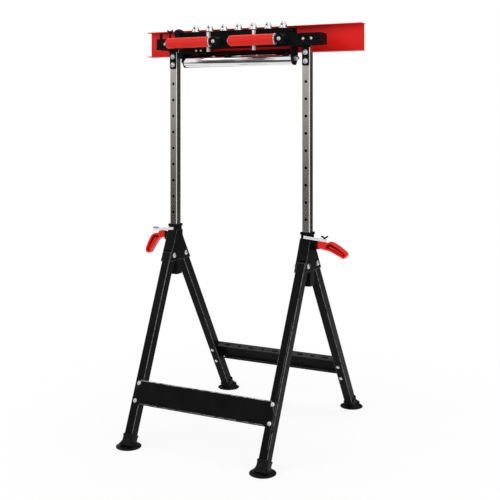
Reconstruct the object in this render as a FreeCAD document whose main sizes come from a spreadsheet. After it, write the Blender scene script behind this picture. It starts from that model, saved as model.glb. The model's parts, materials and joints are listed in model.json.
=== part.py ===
"""Work trestle: a height-adjustable stand with folding legs, a roller, a ball rail and a back rail."""

import FreeCAD, Part
import math
import os
import re
import Sketcher

# Driving dimensions in millimetres, counts where the name says count, angles in degrees.
SIZES = {
    # stance
    "post_spacing": 450,
    "front_reach": 271.3,
    "rear_reach": 354,
    "front_foot_inset": 11.4,
    "rear_foot_inset": -2,
    "running_clearance": 0.3,
    "hole_play": 0.3,
    "cut_overrun": 5,
    "pick_tolerance": 0.1,
    # leg frames
    "pivot_height": 514,
    "pivot_offset": 34.75,
    "leg_width": 27,
    "leg_depth": 31,
    "leg_wall": 1.8,
    "leg_corner": 3,
    "leg_end_gap": 15,
    "foot_axis_height": 3,
    "pivot_bolt_diameter": 8,
    "pivot_hole_play": 0.5,
    # feet
    "foot_disc_diameter": 73,
    "foot_rim_height": 2.5,
    "foot_dome_height": 4.5,
    "foot_dome_top_diameter": 46,
    "boot_wall": 2.2,
    "boot_height": 31,
    # stretchers
    "front_stretcher_inset": 3,
    "rear_stretcher_inset": -7,
    "stretcher_height": 68,
    "stretcher_sheet": 1.6,
    "front_stretcher_centre": 136.5,
    "rear_stretcher_centre": 144.5,
    "stretcher_bulge": 10,
    "top_flange_depth": 20,
    "bottom_flange_depth": 9,
    "flange_leg_play": 1,
    "slot_width": 7,
    "slot_margin": 35.5,
    "slot_short_length": 12,
    "slot_long_length": 20,
    "slot_count": 9,
    "stretcher_bolt_spacing": 50,
    "stretcher_bolt_inset": 6,
    "stretcher_bolt_diameter": 6,
    # sockets and hoods
    "socket_wall": 2.5,
    "post_play": 0.3,
    "socket_drop": 62,
    "socket_rise": 94.5,
    "socket_corner": 3,
    "collar_height": 7,
    "collar_sheet": 1.2,
    "hood_sheet": 1.4,
    "hood_drop": 17,
    "web_rise": 16,
    # posts
    "post_side": 25,
    "post_wall": 2,
    "post_corner": 3,
    "post_drop": 44,
    "lock_rise": 80.7,
    "hole_diameter": 8.5,
    "hole_margin": 46.3,
    "hole_count": 10,
    # cross beam
    "beam_overhang": 52.3,
    "beam_depth": 48.6,
    "beam_height": 34,
    "beam_bottom": 1151,
    "beam_front": 27.8,
    "beam_wall": 2.5,
    # post straps
    "strap_width": 22,
    "strap_sheet": 3,
    "strap_drop": 60,
    "strap_corner": 5,
    "strap_flare_width": 40,
    "strap_flare_drop": 9,
    "strap_head_inner": 20,
    "strap_head_outer": 44,
    "strap_head_height": 27,
    "upper_bolt_drop": 21.5,
    "lower_bolt_drop": 47,
    "strap_bolt_diameter": 8,
    "rivet_diameter": 4.5,
    "inner_rivet_offset": -2.2,
    "outer_rivet_offset": 22.8,
    "rivet_rise": 17.3,
    # back rail
    "rail_overhang": 91.7,
    "rail_height": 80,
    "rail_drop": 15,
    "rail_offset": 83.2,
    "rail_sheet": 2,
    "rail_front_lip": 26,
    "rail_back_lip": 10,
    "rail_bracket_width": 40,
    "rail_bracket_height": 24,
    "rail_bracket_sheet": 3,
    "rail_bracket_inset": 75,
    # ball rail
    "ball_rail_room": 38.5,
    "ball_rail_width": 28,
    "ball_rail_height": 18,
    "ball_rail_wall": 2,
    "row_offset": 4,
    "ball_count": 7,
    "ball_row_inset": 75.9,
    "ball_diameter": 12,
    "cup_flange_diameter": 25,
    "cup_flange_height": 2,
    "cup_base_diameter": 23.5,
    "cup_shoulder_diameter": 19.5,
    "cup_shoulder_height": 10,
    "cup_mouth_diameter": 14,
    "cup_height": 18,
    "ball_rise": 5,
    "left_rail_screw_inset": 19,
    "right_rail_screw_inset": 9.5,
    "ball_rail_screw_diameter": 5,
    # roller
    "roller_end_room": 30.5,
    "roller_diameter": 39,
    "roller_wall": 2.5,
    "roller_cap": 14,
    "roller_drop": 37,
    "axle_diameter": 10,
    "axle_nut_size": 16,
    "axle_nut_height": 7,
    "axle_end_length": 6,
    "carriage_sheet": 3,
    "carriage_gap": 1,
    "carriage_flange": 12,
    "carriage_tail": 20,
    "carriage_tail_width": 22,
    "carriage_corner": 11,
    "carriage_bar_height": 22,
    "carriage_bar_drop": 7,
    "carriage_bar_gap": 1.2,
    "carriage_plate_length": 82,
    "carriage_plate_height": 16.5,
    "plate_screw_diameter": 4,
    "plate_screw_drop": 6,
    "inner_plate_screw_inset": 18,
    "outer_plate_screw_inset": 34,
    # arms
    "arm_rise": 17,
    "arm_offset": 52,
    "arm_inset": 63,
    "arm_spacing": 217,
    "arm_plate_length": 78,
    "arm_plate_height": 38,
    "arm_plate_sheet": 3,
    "arm_plate_shift": 5.5,
    "arm_plate_corner": 5,
    "hub_diameter": 28,
    "hub_end": 62.5,
    "arm_eye_width": 16,
    "arm_eye_wall": 3,
    "grip_diameter": 33,
    "grip_length": 152,
    "grip_start": 17,
    "grip_round": 9,
    "grip_edge": 2,
    "arm_rod_diameter": 10,
    "arm_neck_height": 19,
    "arm_tip_length": 5,
    "arm_tip_diameter": 16,
    "arm_cup_sheet": 2.4,
    "arm_bolt_diameter": 6,
    # stop straps, placed from the pivot of the arm beside each
    "stop_strap_left_offset": 37,
    "stop_strap_right_offset": 99,
    "stop_strap_width": 7,
    "stop_strap_sheet": 2,
    "stop_strap_drop": 11,
    "stop_strap_height": 59,
    "stop_strap_depth": 11,
    # clamp levers
    "clevis_length": 16,
    "clevis_height": 26,
    "clevis_base": 1.8,
    "clevis_ear": 3,
    "lever_pivot_reach": 27,
    "lever_pivot_rise": 57,
    "lever_width": 18,
    "lever_pin_diameter": 6,
    "lever_length": 95,
    "lever_edge": 2.5,
    "left_lever_turn": 25,
    # lock straps
    "lock_strap_height": 8,
    "lock_strap_sheet": 1.8,
    "lock_strap_inner": 4,
    "lock_strap_length": 72,
    "lock_strap_tilt": 5,
    "lock_strap_gap": 3.4,
    "lock_pin_diameter": 8,
    "lock_tab_length": 16,
    "lock_tab_height": 7,
    "lock_tab_depth": 7,
    # clamp screw and wing screw at the left end of the beam
    "clamp_block_width": 21,
    "clamp_block_depth": 24,
    "clamp_block_height": 25,
    "clamp_block_drop": 3,
    "clamp_knob_diameter": 32,
    "clamp_knob_height": 9,
    "clamp_knob_dome": 8,
    "clamp_knob_rise": 13,
    "clamp_knob_neck": 26,
    "clamp_screw_diameter": 8,
    "clamp_screw_room": 5.5,
    "clamp_screw_offset": 8,
    "wing_screw_offset": 17,
    "wing_screw_diameter": 6,
    "wing_screw_depth": 28,
    "wing_span": 20,
    "wing_height": 10,
    "wing_thickness": 3.2,
    "wing_hub_diameter": 10,
    "wing_strap_length": 40,
    "wing_strap_width": 14,
    "wing_strap_height": 19.5,
    "wing_strap_sheet": 2,
    "wing_strap_overhang": 6,
    # bolts, as shares of the shank's diameter
    "head_diameter_share": 1.75,
    "head_rim_share": 0.12,
    "head_dome_share": 0.38,
    "nut_diameter_share": 1.9,
    "nut_height_share": 0.7,
}

doc = FreeCAD.newDocument("WorkTrestle")
sheet = doc.addObject("Spreadsheet::Sheet", "Sizes")
for row, (alias, number) in enumerate(SIZES.items(), start=1):
    sheet.set(f"A{row}", alias)
    sheet.set(f"B{row}", str(number))
    sheet.setAlias(f"B{row}", alias)
doc.recompute()

Vector = FreeCAD.Vector
Rotation = FreeCAD.Rotation
X_AXIS = Vector(1, 0, 0)
Y_AXIS = Vector(0, 1, 0)
Z_AXIS = Vector(0, 0, 1)
SIDES = {"left": -1, "right": 1}
ALONG = math.cos(math.radians(1))
ACROSS = math.sin(math.radians(1))


class Values:
    """Reads a number of the sheet by its alias."""

    def __getattr__(self, alias):
        return float(sheet.get(alias))


size = Values()
subparts = []


def formula(text):
    """Puts the sheet's name before each alias in a formula."""
    return re.sub(r"[a-z]\w*_\w+", lambda found: "Sizes." + found.group(), text)


def bind(item, **formulas):
    """Binds properties of an object to formulas of the sheet's aliases."""
    for name, text in formulas.items():
        item.setExpression(name, formula(text))


def place(item, x=0, y=0, z=0, turn=None):
    """Puts an object at a point, turned by a rotation."""
    item.Placement = FreeCAD.Placement(Vector(x, y, z), turn or Rotation())
    return item


def finish(item, label):
    """Names a finished sub-part and keeps it for the export."""
    item.Label = label
    subparts.append(item)
    return item


def box(name, length, width, height):
    """A block with a corner at its origin."""
    item = doc.addObject("Part::Box", name)
    bind(item, Length=length, Width=width, Height=height)
    return item


def middle_box(name, length, width, height):
    """A block whose origin is the middle of its lower face."""
    item = box(name, length, width, height)
    item.setExpression("Placement.Base.x", formula(f"-({length}) / 2"))
    item.setExpression("Placement.Base.y", formula(f"-({width}) / 2"))
    return item


def rod(name, diameter, height):
    """A cylinder standing on its origin."""
    item = doc.addObject("Part::Cylinder", name)
    bind(item, Radius=f"({diameter}) / 2", Height=height)
    return item


def cone(name, bottom, top, height):
    """A cone standing on its origin, given by its two diameters."""
    item = doc.addObject("Part::Cone", name)
    bind(item, Radius1=f"({bottom}) / 2", Radius2=f"({top}) / 2", Height=height)
    return item


def dome(name, diameter, height, base, down=False):
    """A spherical cap on a level base at a height. It bulges upwards, or downwards if asked."""
    item = doc.addObject("Part::Sphere", name)
    radius = f"((({diameter}) ^ 2 / 4 + ({height}) ^ 2) / (2 * ({height})))"
    bind(item, Radius=radius, Angle1=f"asin(({radius} - ({height})) / {radius})")
    sink = f"({radius} - ({height}))"
    if down:
        item.Placement.Rotation = Rotation(X_AXIS, 180)
    item.setExpression("Placement.Base.z", formula(f"{base} {'+' if down else '-'} {sink}"))
    return item


def fuse(name, *items):
    """Joins solids to one."""
    item = doc.addObject("Part::MultiFuse", name)
    item.Shapes = list(items)
    return item


def cut(name, base, *tools):
    """Takes tools away from a base."""
    item = doc.addObject("Part::Cut", name)
    item.Base = base
    item.Tool = tools[0] if len(tools) == 1 else fuse(name + "Tools", *tools)
    return item


def group(name, items):
    """Separate solids that share a node."""
    item = doc.addObject("Part::Compound", name)
    item.Links = list(items)
    return item


def new_body(name):
    """An empty body."""
    return doc.addObject("PartDesign::Body", name)


def sketch_on(body, role, name, points):
    """A closed outline of straight lines on one of the body's origin planes, bound point by point."""
    sketch = body.newObject("Sketcher::SketchObject", name)
    plane = next(item for item in body.Origin.OriginFeatures if item.Role == role)
    sketch.AttachmentSupport = [(plane, "")]
    sketch.MapMode = "FlatFace"
    add_outline(sketch, points)
    return sketch


def add_outline(sketch, points):
    """Adds a closed outline to a sketch, each corner held by two bound distances."""
    count = len(points)
    first = sketch.GeometryCount
    ring = [Vector(math.cos(math.tau * i / count), math.sin(math.tau * i / count), 0) for i in range(count)]
    for i in range(count):
        sketch.addGeometry(Part.LineSegment(ring[i], ring[(i + 1) % count]))
    for i in range(count):
        sketch.addConstraint(Sketcher.Constraint("Coincident", first + i, 2, first + (i + 1) % count, 1))
    for i, (across, up) in enumerate(points):
        for kind, start, text in (("DistanceX", ring[i].x, across), ("DistanceY", ring[i].y, up)):
            number = sketch.addConstraint(Sketcher.Constraint(kind, -1, 1, first + i, 1, start))
            sketch.setExpression(f"Constraints[{number}]", formula(text))


def rectangle(width, height):
    """Corners of a rectangle about the origin."""
    across = f"({width}) / 2"
    up = f"({height}) / 2"
    return [(f"-{across}", f"-{up}"), (across, f"-{up}"), (across, up), (f"-{across}", up)]


def pad(body, sketch, length, symmetric=False):
    """Pads an outline by a length."""
    feature = body.newObject("PartDesign::Pad", sketch.Name + "Pad")
    feature.Profile = sketch
    feature.SideType = "Symmetric" if symmetric else "One side"
    bind(feature, Length=length)
    doc.recompute()
    return feature


def pocket(body, sketch, length):
    """Cuts an outline out of the body, half the length to each side of its plane."""
    before = body.Shape.Volume
    feature = body.newObject("PartDesign::Pocket", sketch.Name + "Pocket")
    feature.Profile = sketch
    feature.SideType = "Symmetric"
    bind(feature, Length=length)
    doc.recompute()
    if body.Shape.Volume >= before:
        raise RuntimeError(f"{sketch.Name} cuts nothing")
    return feature


def round_edges(body, axis, radius, keep=None):
    """Rounds the straight edges of a body that run along an axis."""
    base = body.Tip
    chosen = [
        f"Edge{number}"
        for number, edge in enumerate(base.Shape.Edges, start=1)
        if edge.Curve.TypeId == "Part::GeomLine"
        and abs(edge.Curve.Direction.dot(axis)) > ALONG
        and (keep is None or keep(edge.CenterOfMass))
    ]
    feature = body.newObject("PartDesign::Fillet", body.Name + "Round" + str(len(body.Group)))
    feature.Base = (base, chosen)
    bind(feature, Radius=radius)
    doc.recompute()
    return feature


def round_faces(body, axis, radius):
    """Rounds the edges round the two flat ends of a prism."""
    base = body.Tip
    chosen = [
        f"Edge{number}"
        for number, edge in enumerate(base.Shape.Edges, start=1)
        if abs((edge.lastVertex().Point - edge.firstVertex().Point).normalize().dot(axis)) < ACROSS
    ]
    feature = body.newObject("PartDesign::Fillet", body.Name + "Round" + str(len(body.Group)))
    feature.Base = (base, chosen)
    bind(feature, Radius=radius)
    doc.recompute()
    return feature


def round_rim(body, radius, height):
    """Rounds the outer circle of a turned body at a height along its axis."""
    base = body.Tip
    rims = [
        (edge.Curve.Radius, f"Edge{number}")
        for number, edge in enumerate(base.Shape.Edges, start=1)
        if edge.Curve.TypeId == "Part::GeomCircle"
        and abs(edge.Curve.Center.z - height) < size.pick_tolerance
    ]
    feature = body.newObject("PartDesign::Fillet", body.Name + "Rim" + str(len(body.Group)))
    feature.Base = (base, [max(rims)[1]])
    bind(feature, Radius=radius)
    doc.recompute()
    return feature


def prism(name, role, points, length):
    """A body padded from one outline, half to each side of its plane."""
    body = new_body(name)
    pad(body, sketch_on(body, role, name + "Outline", points), length, symmetric=True)
    return body


def square_tube(name, width, depth, wall, length, corner):
    """A hollow tube about the Z axis, half its length to each side of the origin."""
    body = prism(name, "XY_Plane", rectangle(width, depth), length)
    round_edges(body, Z_AXIS, corner)
    bore = rectangle(f"{width} - 2 * {wall}", f"{depth} - 2 * {wall}")
    pocket(body, sketch_on(body, "XY_Plane", name + "Bore", bore), f"{length} + 2 * cut_overrun")
    return body


def bolt(name, diameter, grip, nut=True):
    """A dome-headed bolt along Z: the head below the origin, the grip above it, then the nut."""
    head_diameter = f"{diameter} * head_diameter_share"
    rim_height = f"{diameter} * head_rim_share"
    rim = rod(name + "Rim", head_diameter, rim_height)
    rim.setExpression("Placement.Base.z", formula(f"-{rim_height}"))
    cap = dome(name + "Cap", head_diameter, f"{diameter} * head_dome_share", f"-{rim_height}", down=True)
    shank = rod(name + "Shank", diameter, f"{grip} + {diameter} * nut_height_share" if nut else grip)
    pieces = [rim, cap, shank]
    if nut:
        hexagon = doc.addObject("Part::Prism", name + "Nut")
        hexagon.Polygon = 6
        bind(hexagon, Circumradius=f"{diameter} * nut_diameter_share / 2",
             Height=f"{diameter} * nut_height_share")
        hexagon.setExpression("Placement.Base.z", formula(grip))
        pieces.append(hexagon)
    return fuse(name, *pieces)


# Places that follow from the sizes. The origin is on the floor, in the middle of the footprint.
post_x = size.post_spacing / 2
post_y = (size.front_reach - size.rear_reach) / 2
socket_side = size.post_side + 2 * (size.post_play + size.socket_wall)
SOCKET_SIDE = "(post_side + 2 * (post_play + socket_wall))"
hood_half_width = socket_side / 2 + size.hood_sheet
beam_top = size.beam_bottom + size.beam_height
arm_height = size.beam_bottom + size.arm_rise
lock_height = size.pivot_height + size.lock_rise
lever_height = size.pivot_height + size.lever_pivot_rise
roller_half = (size.post_spacing - size.post_side) / 2 - size.roller_end_room
roller_z = size.beam_bottom - size.roller_drop
carriage_face = roller_half + size.carriage_gap + size.carriage_sheet
clamp_screw_x = size.clamp_screw_room - (size.post_spacing - size.post_side) / 2
clamp_screw_y = post_y - size.clamp_screw_offset
wing_screw_x = -post_x - size.wing_screw_offset
beam_front_y = post_y - size.beam_front
beam_back_y = beam_front_y + size.beam_depth
row_y = post_y - size.row_offset
along_x = Rotation(Y_AXIS, 90)
against_x = Rotation(Y_AXIS, -90)
along_y = Rotation(X_AXIS, -90)

# The same kind of length as a formula, where an object's own size follows from it.
STRETCHER_HALF = {
    "front": "(post_spacing / 2 - front_stretcher_inset)",
    "rear": "(post_spacing / 2 - rear_stretcher_inset)",
}
BEAM_LENGTH = "(post_spacing + 2 * beam_overhang)"
RAIL_LENGTH = "(post_spacing + 2 * (beam_overhang + rail_overhang))"
ROLLER_LENGTH = "(post_spacing - post_side - 2 * roller_end_room)"
BALL_RAIL_LENGTH = "(post_spacing - 2 * ball_rail_room)"
SOCKET_TOP = "(pivot_height + socket_rise)"
SOCKET_BOTTOM = "(pivot_height - socket_drop)"
LOCK_HEIGHT = "(pivot_height + lock_rise)"
POST_BOTTOM = "(pivot_height - post_drop)"
STRAP_BOTTOM = "(beam_bottom - strap_drop)"
HOLE_PITCH = f"(({STRAP_BOTTOM} - hole_margin - {LOCK_HEIGHT}) / (hole_count - 1))"

# Outlines as shares of a length: across, then up.
bulge_shares = [(0, 0), (0.66, 0.2), (1, 0.4), (1, 0.6), (0.66, 0.8), (0, 1)]
lever_tip_shares = [
    (0.12, -0.11), (0.41, -0.126), (0.63, -0.18), (0.83, -0.27), (0.93, -0.305),
    (1, -0.2), (0.83, -0.05), (0.67, 0.063), (0.5, 0.12), (0.12, 0.105),
]
wing_shares = [(-0.2, 0), (0.2, 0), (0.5, 0.5), (0.5, 1), (0.15, 0.6), (-0.15, 0.6), (-0.5, 1), (-0.5, 0.5)]

FRAMES = {
    "front": {"way": -1, "reach": size.front_reach, "inset": size.front_foot_inset},
    "rear": {"way": 1, "reach": size.rear_reach, "inset": size.rear_foot_inset},
}
leg_rise = size.pivot_height - size.foot_axis_height
for frame in FRAMES.values():
    frame["pivot_y"] = post_y + frame["way"] * size.pivot_offset
    frame["lean"] = math.degrees(math.atan2(frame["reach"] - size.pivot_offset, leg_rise))
    frame["slope_length"] = math.hypot(frame["reach"] - size.pivot_offset, leg_rise)
    frame["length"] = math.hypot(frame["slope_length"], frame["inset"])
    frame["turn"] = Rotation(X_AXIS, frame["way"] * frame["lean"])
STRAP_BOLTS = ("upper_bolt_drop", "lower_bolt_drop")
RIVETS = ("inner_rivet_offset", "outer_rivet_offset")
PLATE_SCREWS = ("inner_plate_screw_inset", "outer_plate_screw_inset")
LEAN = {
    "front": "atan((front_reach - pivot_offset) / (pivot_height - foot_axis_height))",
    "rear": "atan((rear_reach - pivot_offset) / (pivot_height - foot_axis_height))",
}
LEG_LENGTH = {
    end: f"sqrt(({end}_reach - pivot_offset) ^ 2 + (pivot_height - foot_axis_height) ^ 2"
         f" + {end}_foot_inset ^ 2)"
    for end in FRAMES
}


def leg_turn(end, side):
    """The rotation that lays a leg from its pivot towards its foot."""
    frame = FRAMES[end]
    splay = math.degrees(math.atan2(SIDES[side] * frame["inset"], frame["slope_length"]))
    return frame["turn"].multiply(Rotation(Y_AXIS, splay)), splay


def leg(end, side):
    """A leg tube with a rounded top about its pivot. The pivot is the origin and the foot is below."""
    name = f"{end.title()}{side.title()}Leg"
    frame = FRAMES[end]
    tube_length = f"({LEG_LENGTH[end]} - leg_end_gap + leg_depth / 2)"
    tube = square_tube(name + "Tube", "leg_width", "leg_depth", "leg_wall", tube_length, "leg_corner")
    tube.setExpression("Placement.Base.z", formula(f"leg_depth / 2 - {tube_length} / 2"))
    top = rod(name + "Top", "leg_depth", "leg_width")
    top.Placement.Rotation = along_x
    top.setExpression("Placement.Base.x", formula("-leg_width / 2"))
    stem = middle_box(name + "Stem", "leg_width", "leg_depth", tube_length)
    stem.setExpression("Placement.Base.z", formula(f"leg_depth / 2 - {tube_length} - leg_depth / 2"))
    outline = fuse(name + "Outline", top, stem)
    shaped = doc.addObject("Part::Common", name + "Shaped")
    shaped.Base = tube
    shaped.Tool = outline
    turn, splay = leg_turn(end, side)
    hole = rod(name + "Hole", "pivot_bolt_diameter + 2 * pivot_hole_play", "2 * leg_width")
    hole.Placement = FreeCAD.Placement(Vector(-size.leg_width, 0, 0), along_x)
    hole.Placement = FreeCAD.Placement(Vector(), Rotation(Y_AXIS, -splay)).multiply(hole.Placement)
    tools = [hole]
    for rise in (-1, 1):
        bolt_hole = rod(f"{name}BoltHole{rise + 2}", "stretcher_bolt_diameter + 2 * hole_play",
                        "leg_depth + 2 * cut_overrun")
        along = stretcher_distance(end) - rise * size.stretcher_bolt_spacing / 2
        across = SIDES[side] * (stretcher_bolt_x(end) - leg_x_at(end, along))
        bolt_hole.Placement = FreeCAD.Placement(
            Vector(across, -size.leg_depth / 2 - size.cut_overrun, -along), along_y)
        tools.append(bolt_hole)
    item = cut(name, shaped, *tools)
    place(item, SIDES[side] * post_x, frame["pivot_y"], size.pivot_height, turn)
    finish(item, f"{end}_{side}_leg")


def stretcher_distance(end):
    """How far below the pivot the stretcher's middle is, measured along the leg."""
    centre = getattr(size, f"{end}_stretcher_centre")
    return (size.pivot_height - centre) / math.cos(math.radians(FRAMES[end]["lean"]))


def stretcher_bolt_x(end):
    """How far from the middle of the trestle the stretcher bolts are."""
    return post_x - getattr(size, f"{end}_stretcher_inset") - size.stretcher_bolt_inset


def leg_x_at(end, along):
    """How far from the middle of the trestle a leg's axis is, at a distance along its slope."""
    frame = FRAMES[end]
    return post_x - frame["inset"] * along / frame["slope_length"]


def foot(end, side):
    """A moulded foot: a flared disc with a boot that takes the end of the leg."""
    name = f"{end.title()}{side.title()}Foot"
    frame = FRAMES[end]
    turn, _ = leg_turn(end, side)
    rim = rod(name + "Rim", "foot_disc_diameter", "foot_rim_height")
    dome = cone(name + "Dome", "foot_disc_diameter", "foot_dome_top_diameter", "foot_dome_height")
    dome.setExpression("Placement.Base.z", formula("foot_rim_height"))
    boot = box(name + "Boot", "leg_width + 2 * boot_wall", "leg_depth + 2 * boot_wall",
               "boot_height + leg_depth")
    boot_place = FreeCAD.Placement(Vector(0, 0, size.foot_axis_height), turn)
    wall = size.boot_wall
    corner = Vector(-size.leg_width / 2 - wall, -size.leg_depth / 2 - wall, -size.leg_depth)
    boot.Placement = boot_place.multiply(FreeCAD.Placement(corner, Rotation()))
    solid = fuse(name + "Solid", rim, dome, boot)
    cavity = box(name + "Cavity", "leg_width", "leg_depth", "boot_height + leg_depth")
    corner = Vector(-size.leg_width / 2, -size.leg_depth / 2, size.leg_end_gap)
    cavity.Placement = boot_place.multiply(FreeCAD.Placement(corner, Rotation()))
    floor = middle_box(name + "Floor", "2 * foot_disc_diameter", "2 * foot_disc_diameter",
                       "foot_disc_diameter")
    floor.setExpression("Placement.Base.z", formula("-foot_disc_diameter"))
    item = cut(name, solid, cavity, floor)
    place(item, SIDES[side] * (post_x - frame["inset"]), post_y + frame["way"] * frame["reach"], 0)
    finish(item, f"{end}_{side}_foot")


def stretcher(end):
    """A folded sheet between two legs: bulged ends, a slotted top flange and a short bottom flange.

    Its origin is the middle of the plate's inner face. Z runs up the slope and the flanges run inwards.
    """
    name = f"{end.title()}Stretcher"
    frame = FRAMES[end]
    way = -frame["way"]
    outline = []
    for sign, shares in ((1, bulge_shares), (-1, bulge_shares[::-1])):
        for out, up in shares:
            across = f"{sign} * ({STRETCHER_HALF[end]} - stretcher_bulge + stretcher_bulge * {out})"
            outline.append((across, f"stretcher_height * {up} - stretcher_height / 2"))
    plate = prism(name + "Plate", "XZ_Plane", outline, "stretcher_sheet")
    plate.Placement.Base.y = -way * size.stretcher_sheet / 2
    leg_inset = f"max(0; {end}_foot_inset)"
    flange_length = f"post_spacing - 2 * {leg_inset} - leg_width - 2 * flange_leg_play"
    top = middle_box(name + "TopFlange", flange_length, "top_flange_depth", "stretcher_sheet")
    top.setExpression("Placement.Base.z", formula("stretcher_height / 2 - stretcher_sheet"))
    bottom = middle_box(name + "BottomFlange", flange_length, "bottom_flange_depth", "stretcher_sheet")
    bottom.setExpression("Placement.Base.z", formula("-stretcher_height / 2"))
    for flange, depth in ((top, "top_flange_depth"), (bottom, "bottom_flange_depth")):
        flange.setExpression("Placement.Base.y", formula(f"({way} - 1) / 2 * {depth}"))
    solid = fuse(name + "Solid", plate, top, bottom)
    tools = []
    middle = (size.slot_count - 1) / 2
    slot_pitch = (size.post_spacing - size.leg_width - 2 * size.slot_margin) / (size.slot_count - 1)
    for number in range(int(size.slot_count)):
        length = "slot_long_length" if number % 2 == 0 else "slot_short_length"
        tools.append(slot(f"{name}Slot{number}", length, (number - middle) * slot_pitch,
                          way * size.top_flange_depth / 2))
    for side, sign in SIDES.items():
        for rise in (-1, 1):
            hole = rod(f"{name}{side.title()}Hole{rise + 2}", "stretcher_bolt_diameter + 2 * hole_play",
                       "2 * cut_overrun")
            place(hole, sign * stretcher_bolt_x(end), -size.cut_overrun,
                  rise * size.stretcher_bolt_spacing / 2, along_y)
            tools.append(hole)
    item = cut(name, solid, *tools)
    item.Placement = stretcher_place(end)
    finish(item, f"{end}_stretcher")
    bolts = []
    for side, sign in SIDES.items():
        for rise in (-1, 1):
            one = bolt(f"{name}{side.title()}Bolt{rise + 2}", "stretcher_bolt_diameter",
                       "(leg_depth + stretcher_sheet)")
            head = FreeCAD.Placement(
                Vector(sign * stretcher_bolt_x(end), -way * size.stretcher_sheet,
                       rise * size.stretcher_bolt_spacing / 2),
                along_y if way > 0 else Rotation(X_AXIS, 90))
            one.Placement = stretcher_place(end).multiply(head)
            bolts.append(one)
    finish(group(name + "Bolts", bolts), f"{end}_stretcher_bolts")


def slot(name, length, across, back):
    """A round-ended slot cutter through the top flange."""
    bar = middle_box(name + "Bar", f"{length} - slot_width", "slot_width",
                     "stretcher_sheet + 2 * cut_overrun")
    ends = []
    for sign in (-1, 1):
        end = rod(f"{name}End{sign + 1}", "slot_width", "stretcher_sheet + 2 * cut_overrun")
        end.setExpression("Placement.Base.x", formula(f"{sign} * ({length} - slot_width) / 2"))
        ends.append(end)
    item = fuse(name, bar, *ends)
    lift = size.stretcher_height / 2 - size.stretcher_sheet - size.cut_overrun
    return place(item, across, back, lift)


def stretcher_place(end):
    """Where the stretcher's inner face lies: on the outer face of the two legs."""
    frame = FRAMES[end]
    offset = Vector(0, frame["way"] * size.leg_depth / 2, -stretcher_distance(end))
    pivot = FreeCAD.Placement(Vector(0, frame["pivot_y"], size.pivot_height), frame["turn"])
    return pivot.multiply(FreeCAD.Placement(offset, Rotation()))


def socket(side):
    """The square tube that a post slides in, with a turned-out collar and the lock pin's hole."""
    name = f"{side.title()}Socket"
    tube = square_tube(name + "Tube", SOCKET_SIDE, SOCKET_SIDE, "socket_wall",
                       "(socket_rise + socket_drop)", "socket_corner")
    tube.setExpression("Placement.Base.z", formula(f"({SOCKET_TOP} + {SOCKET_BOTTOM}) / 2"))
    collar = middle_box(name + "Collar", f"{SOCKET_SIDE} + 2 * collar_sheet",
                        f"{SOCKET_SIDE} + 2 * collar_sheet", "collar_height")
    collar.setExpression("Placement.Base.z", formula(f"{SOCKET_TOP} - collar_height"))
    mouth = middle_box(name + "Mouth", f"{SOCKET_SIDE} - 2 * socket_wall",
                       f"{SOCKET_SIDE} - 2 * socket_wall", "collar_height + 2 * cut_overrun")
    mouth.setExpression("Placement.Base.z", formula(f"{SOCKET_TOP} - collar_height - cut_overrun"))
    hole = rod(name + "Hole", "lock_pin_diameter + 2 * running_clearance", "post_side")
    place(hole, 0, -size.post_side, lock_height, along_y)
    item = cut(name, fuse(name + "Solid", tube, collar), mouth, hole)
    place(item, SIDES[side] * post_x, post_y, 0)
    finish(item, f"{side}_socket_tube")


def hood_lines():
    """Formulas of the hood's sloping faces: how far from the post a leg's outer face is at a height."""
    lines = {}
    for end in FRAMES:
        def distance(height, inset="0", end=end):
            return (f"(pivot_offset + (leg_depth / 2 - ({inset})) / cos({LEAN[end]})"
                    f" + (pivot_height - ({height})) * tan({LEAN[end]}))")

        def height(distance, inset="0", end=end):
            return (f"(pivot_height + (pivot_offset + (leg_depth / 2 - ({inset})) / cos({LEAN[end]})"
                    f" - ({distance})) / tan({LEAN[end]}))")
        lines[end] = (distance, height)
    return lines


def hood(side):
    """A folded cover over socket and leg tops: two side plates and a web in line with each leg."""
    name = f"{side.title()}Hood"
    lines = hood_lines()
    front_at, front_height = lines["front"]
    rear_at, rear_height = lines["rear"]
    bottom = "(pivot_height - hood_drop)"
    half = f"({SOCKET_SIDE} / 2)"
    outer = f"({half} + hood_sheet)"
    top = front_height(outer)
    web = "(pivot_height + web_rise)"
    outline = [
        (f"-{outer}", top), (f"-{front_at(bottom)}", bottom), (rear_at(bottom), bottom),
        (outer, rear_height(outer)), (outer, top),
    ]
    body = prism(name, "YZ_Plane", outline, f"{SOCKET_SIDE} + 2 * hood_sheet")
    overrun = "cut_overrun"
    cavity = [
        (f"-{half}", f"{top} + {overrun}"), (f"-{half}", front_height(half, "hood_sheet")),
        (f"-{front_at(web, 'hood_sheet')}", web), (f"-{front_at(web)} - {overrun}", web),
        (f"-{front_at(bottom)} - {overrun}", f"{bottom} - {overrun}"),
        (f"{rear_at(bottom)} + {overrun}", f"{bottom} - {overrun}"),
        (f"{rear_at(web)} + {overrun}", web), (rear_at(web, "hood_sheet"), web),
        (half, rear_height(half, "hood_sheet")), (half, f"{top} + {overrun}"),
    ]
    pocket(body, sketch_on(body, "YZ_Plane", name + "Cavity", cavity), SOCKET_SIDE)
    holes = []
    for end, frame in FRAMES.items():
        hole = rod(f"{name}{end.title()}Hole", "pivot_bolt_diameter + 2 * hole_play", "2 * post_side")
        place(hole, -size.post_side, frame["way"] * size.pivot_offset, size.pivot_height, along_x)
        holes.append(hole)
    item = cut(name + "Drilled", body, *holes, *hood_rooms(name))
    place(item, SIDES[side] * post_x, post_y, 0)
    finish(item, f"{side}_hood_bracket")


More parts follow.
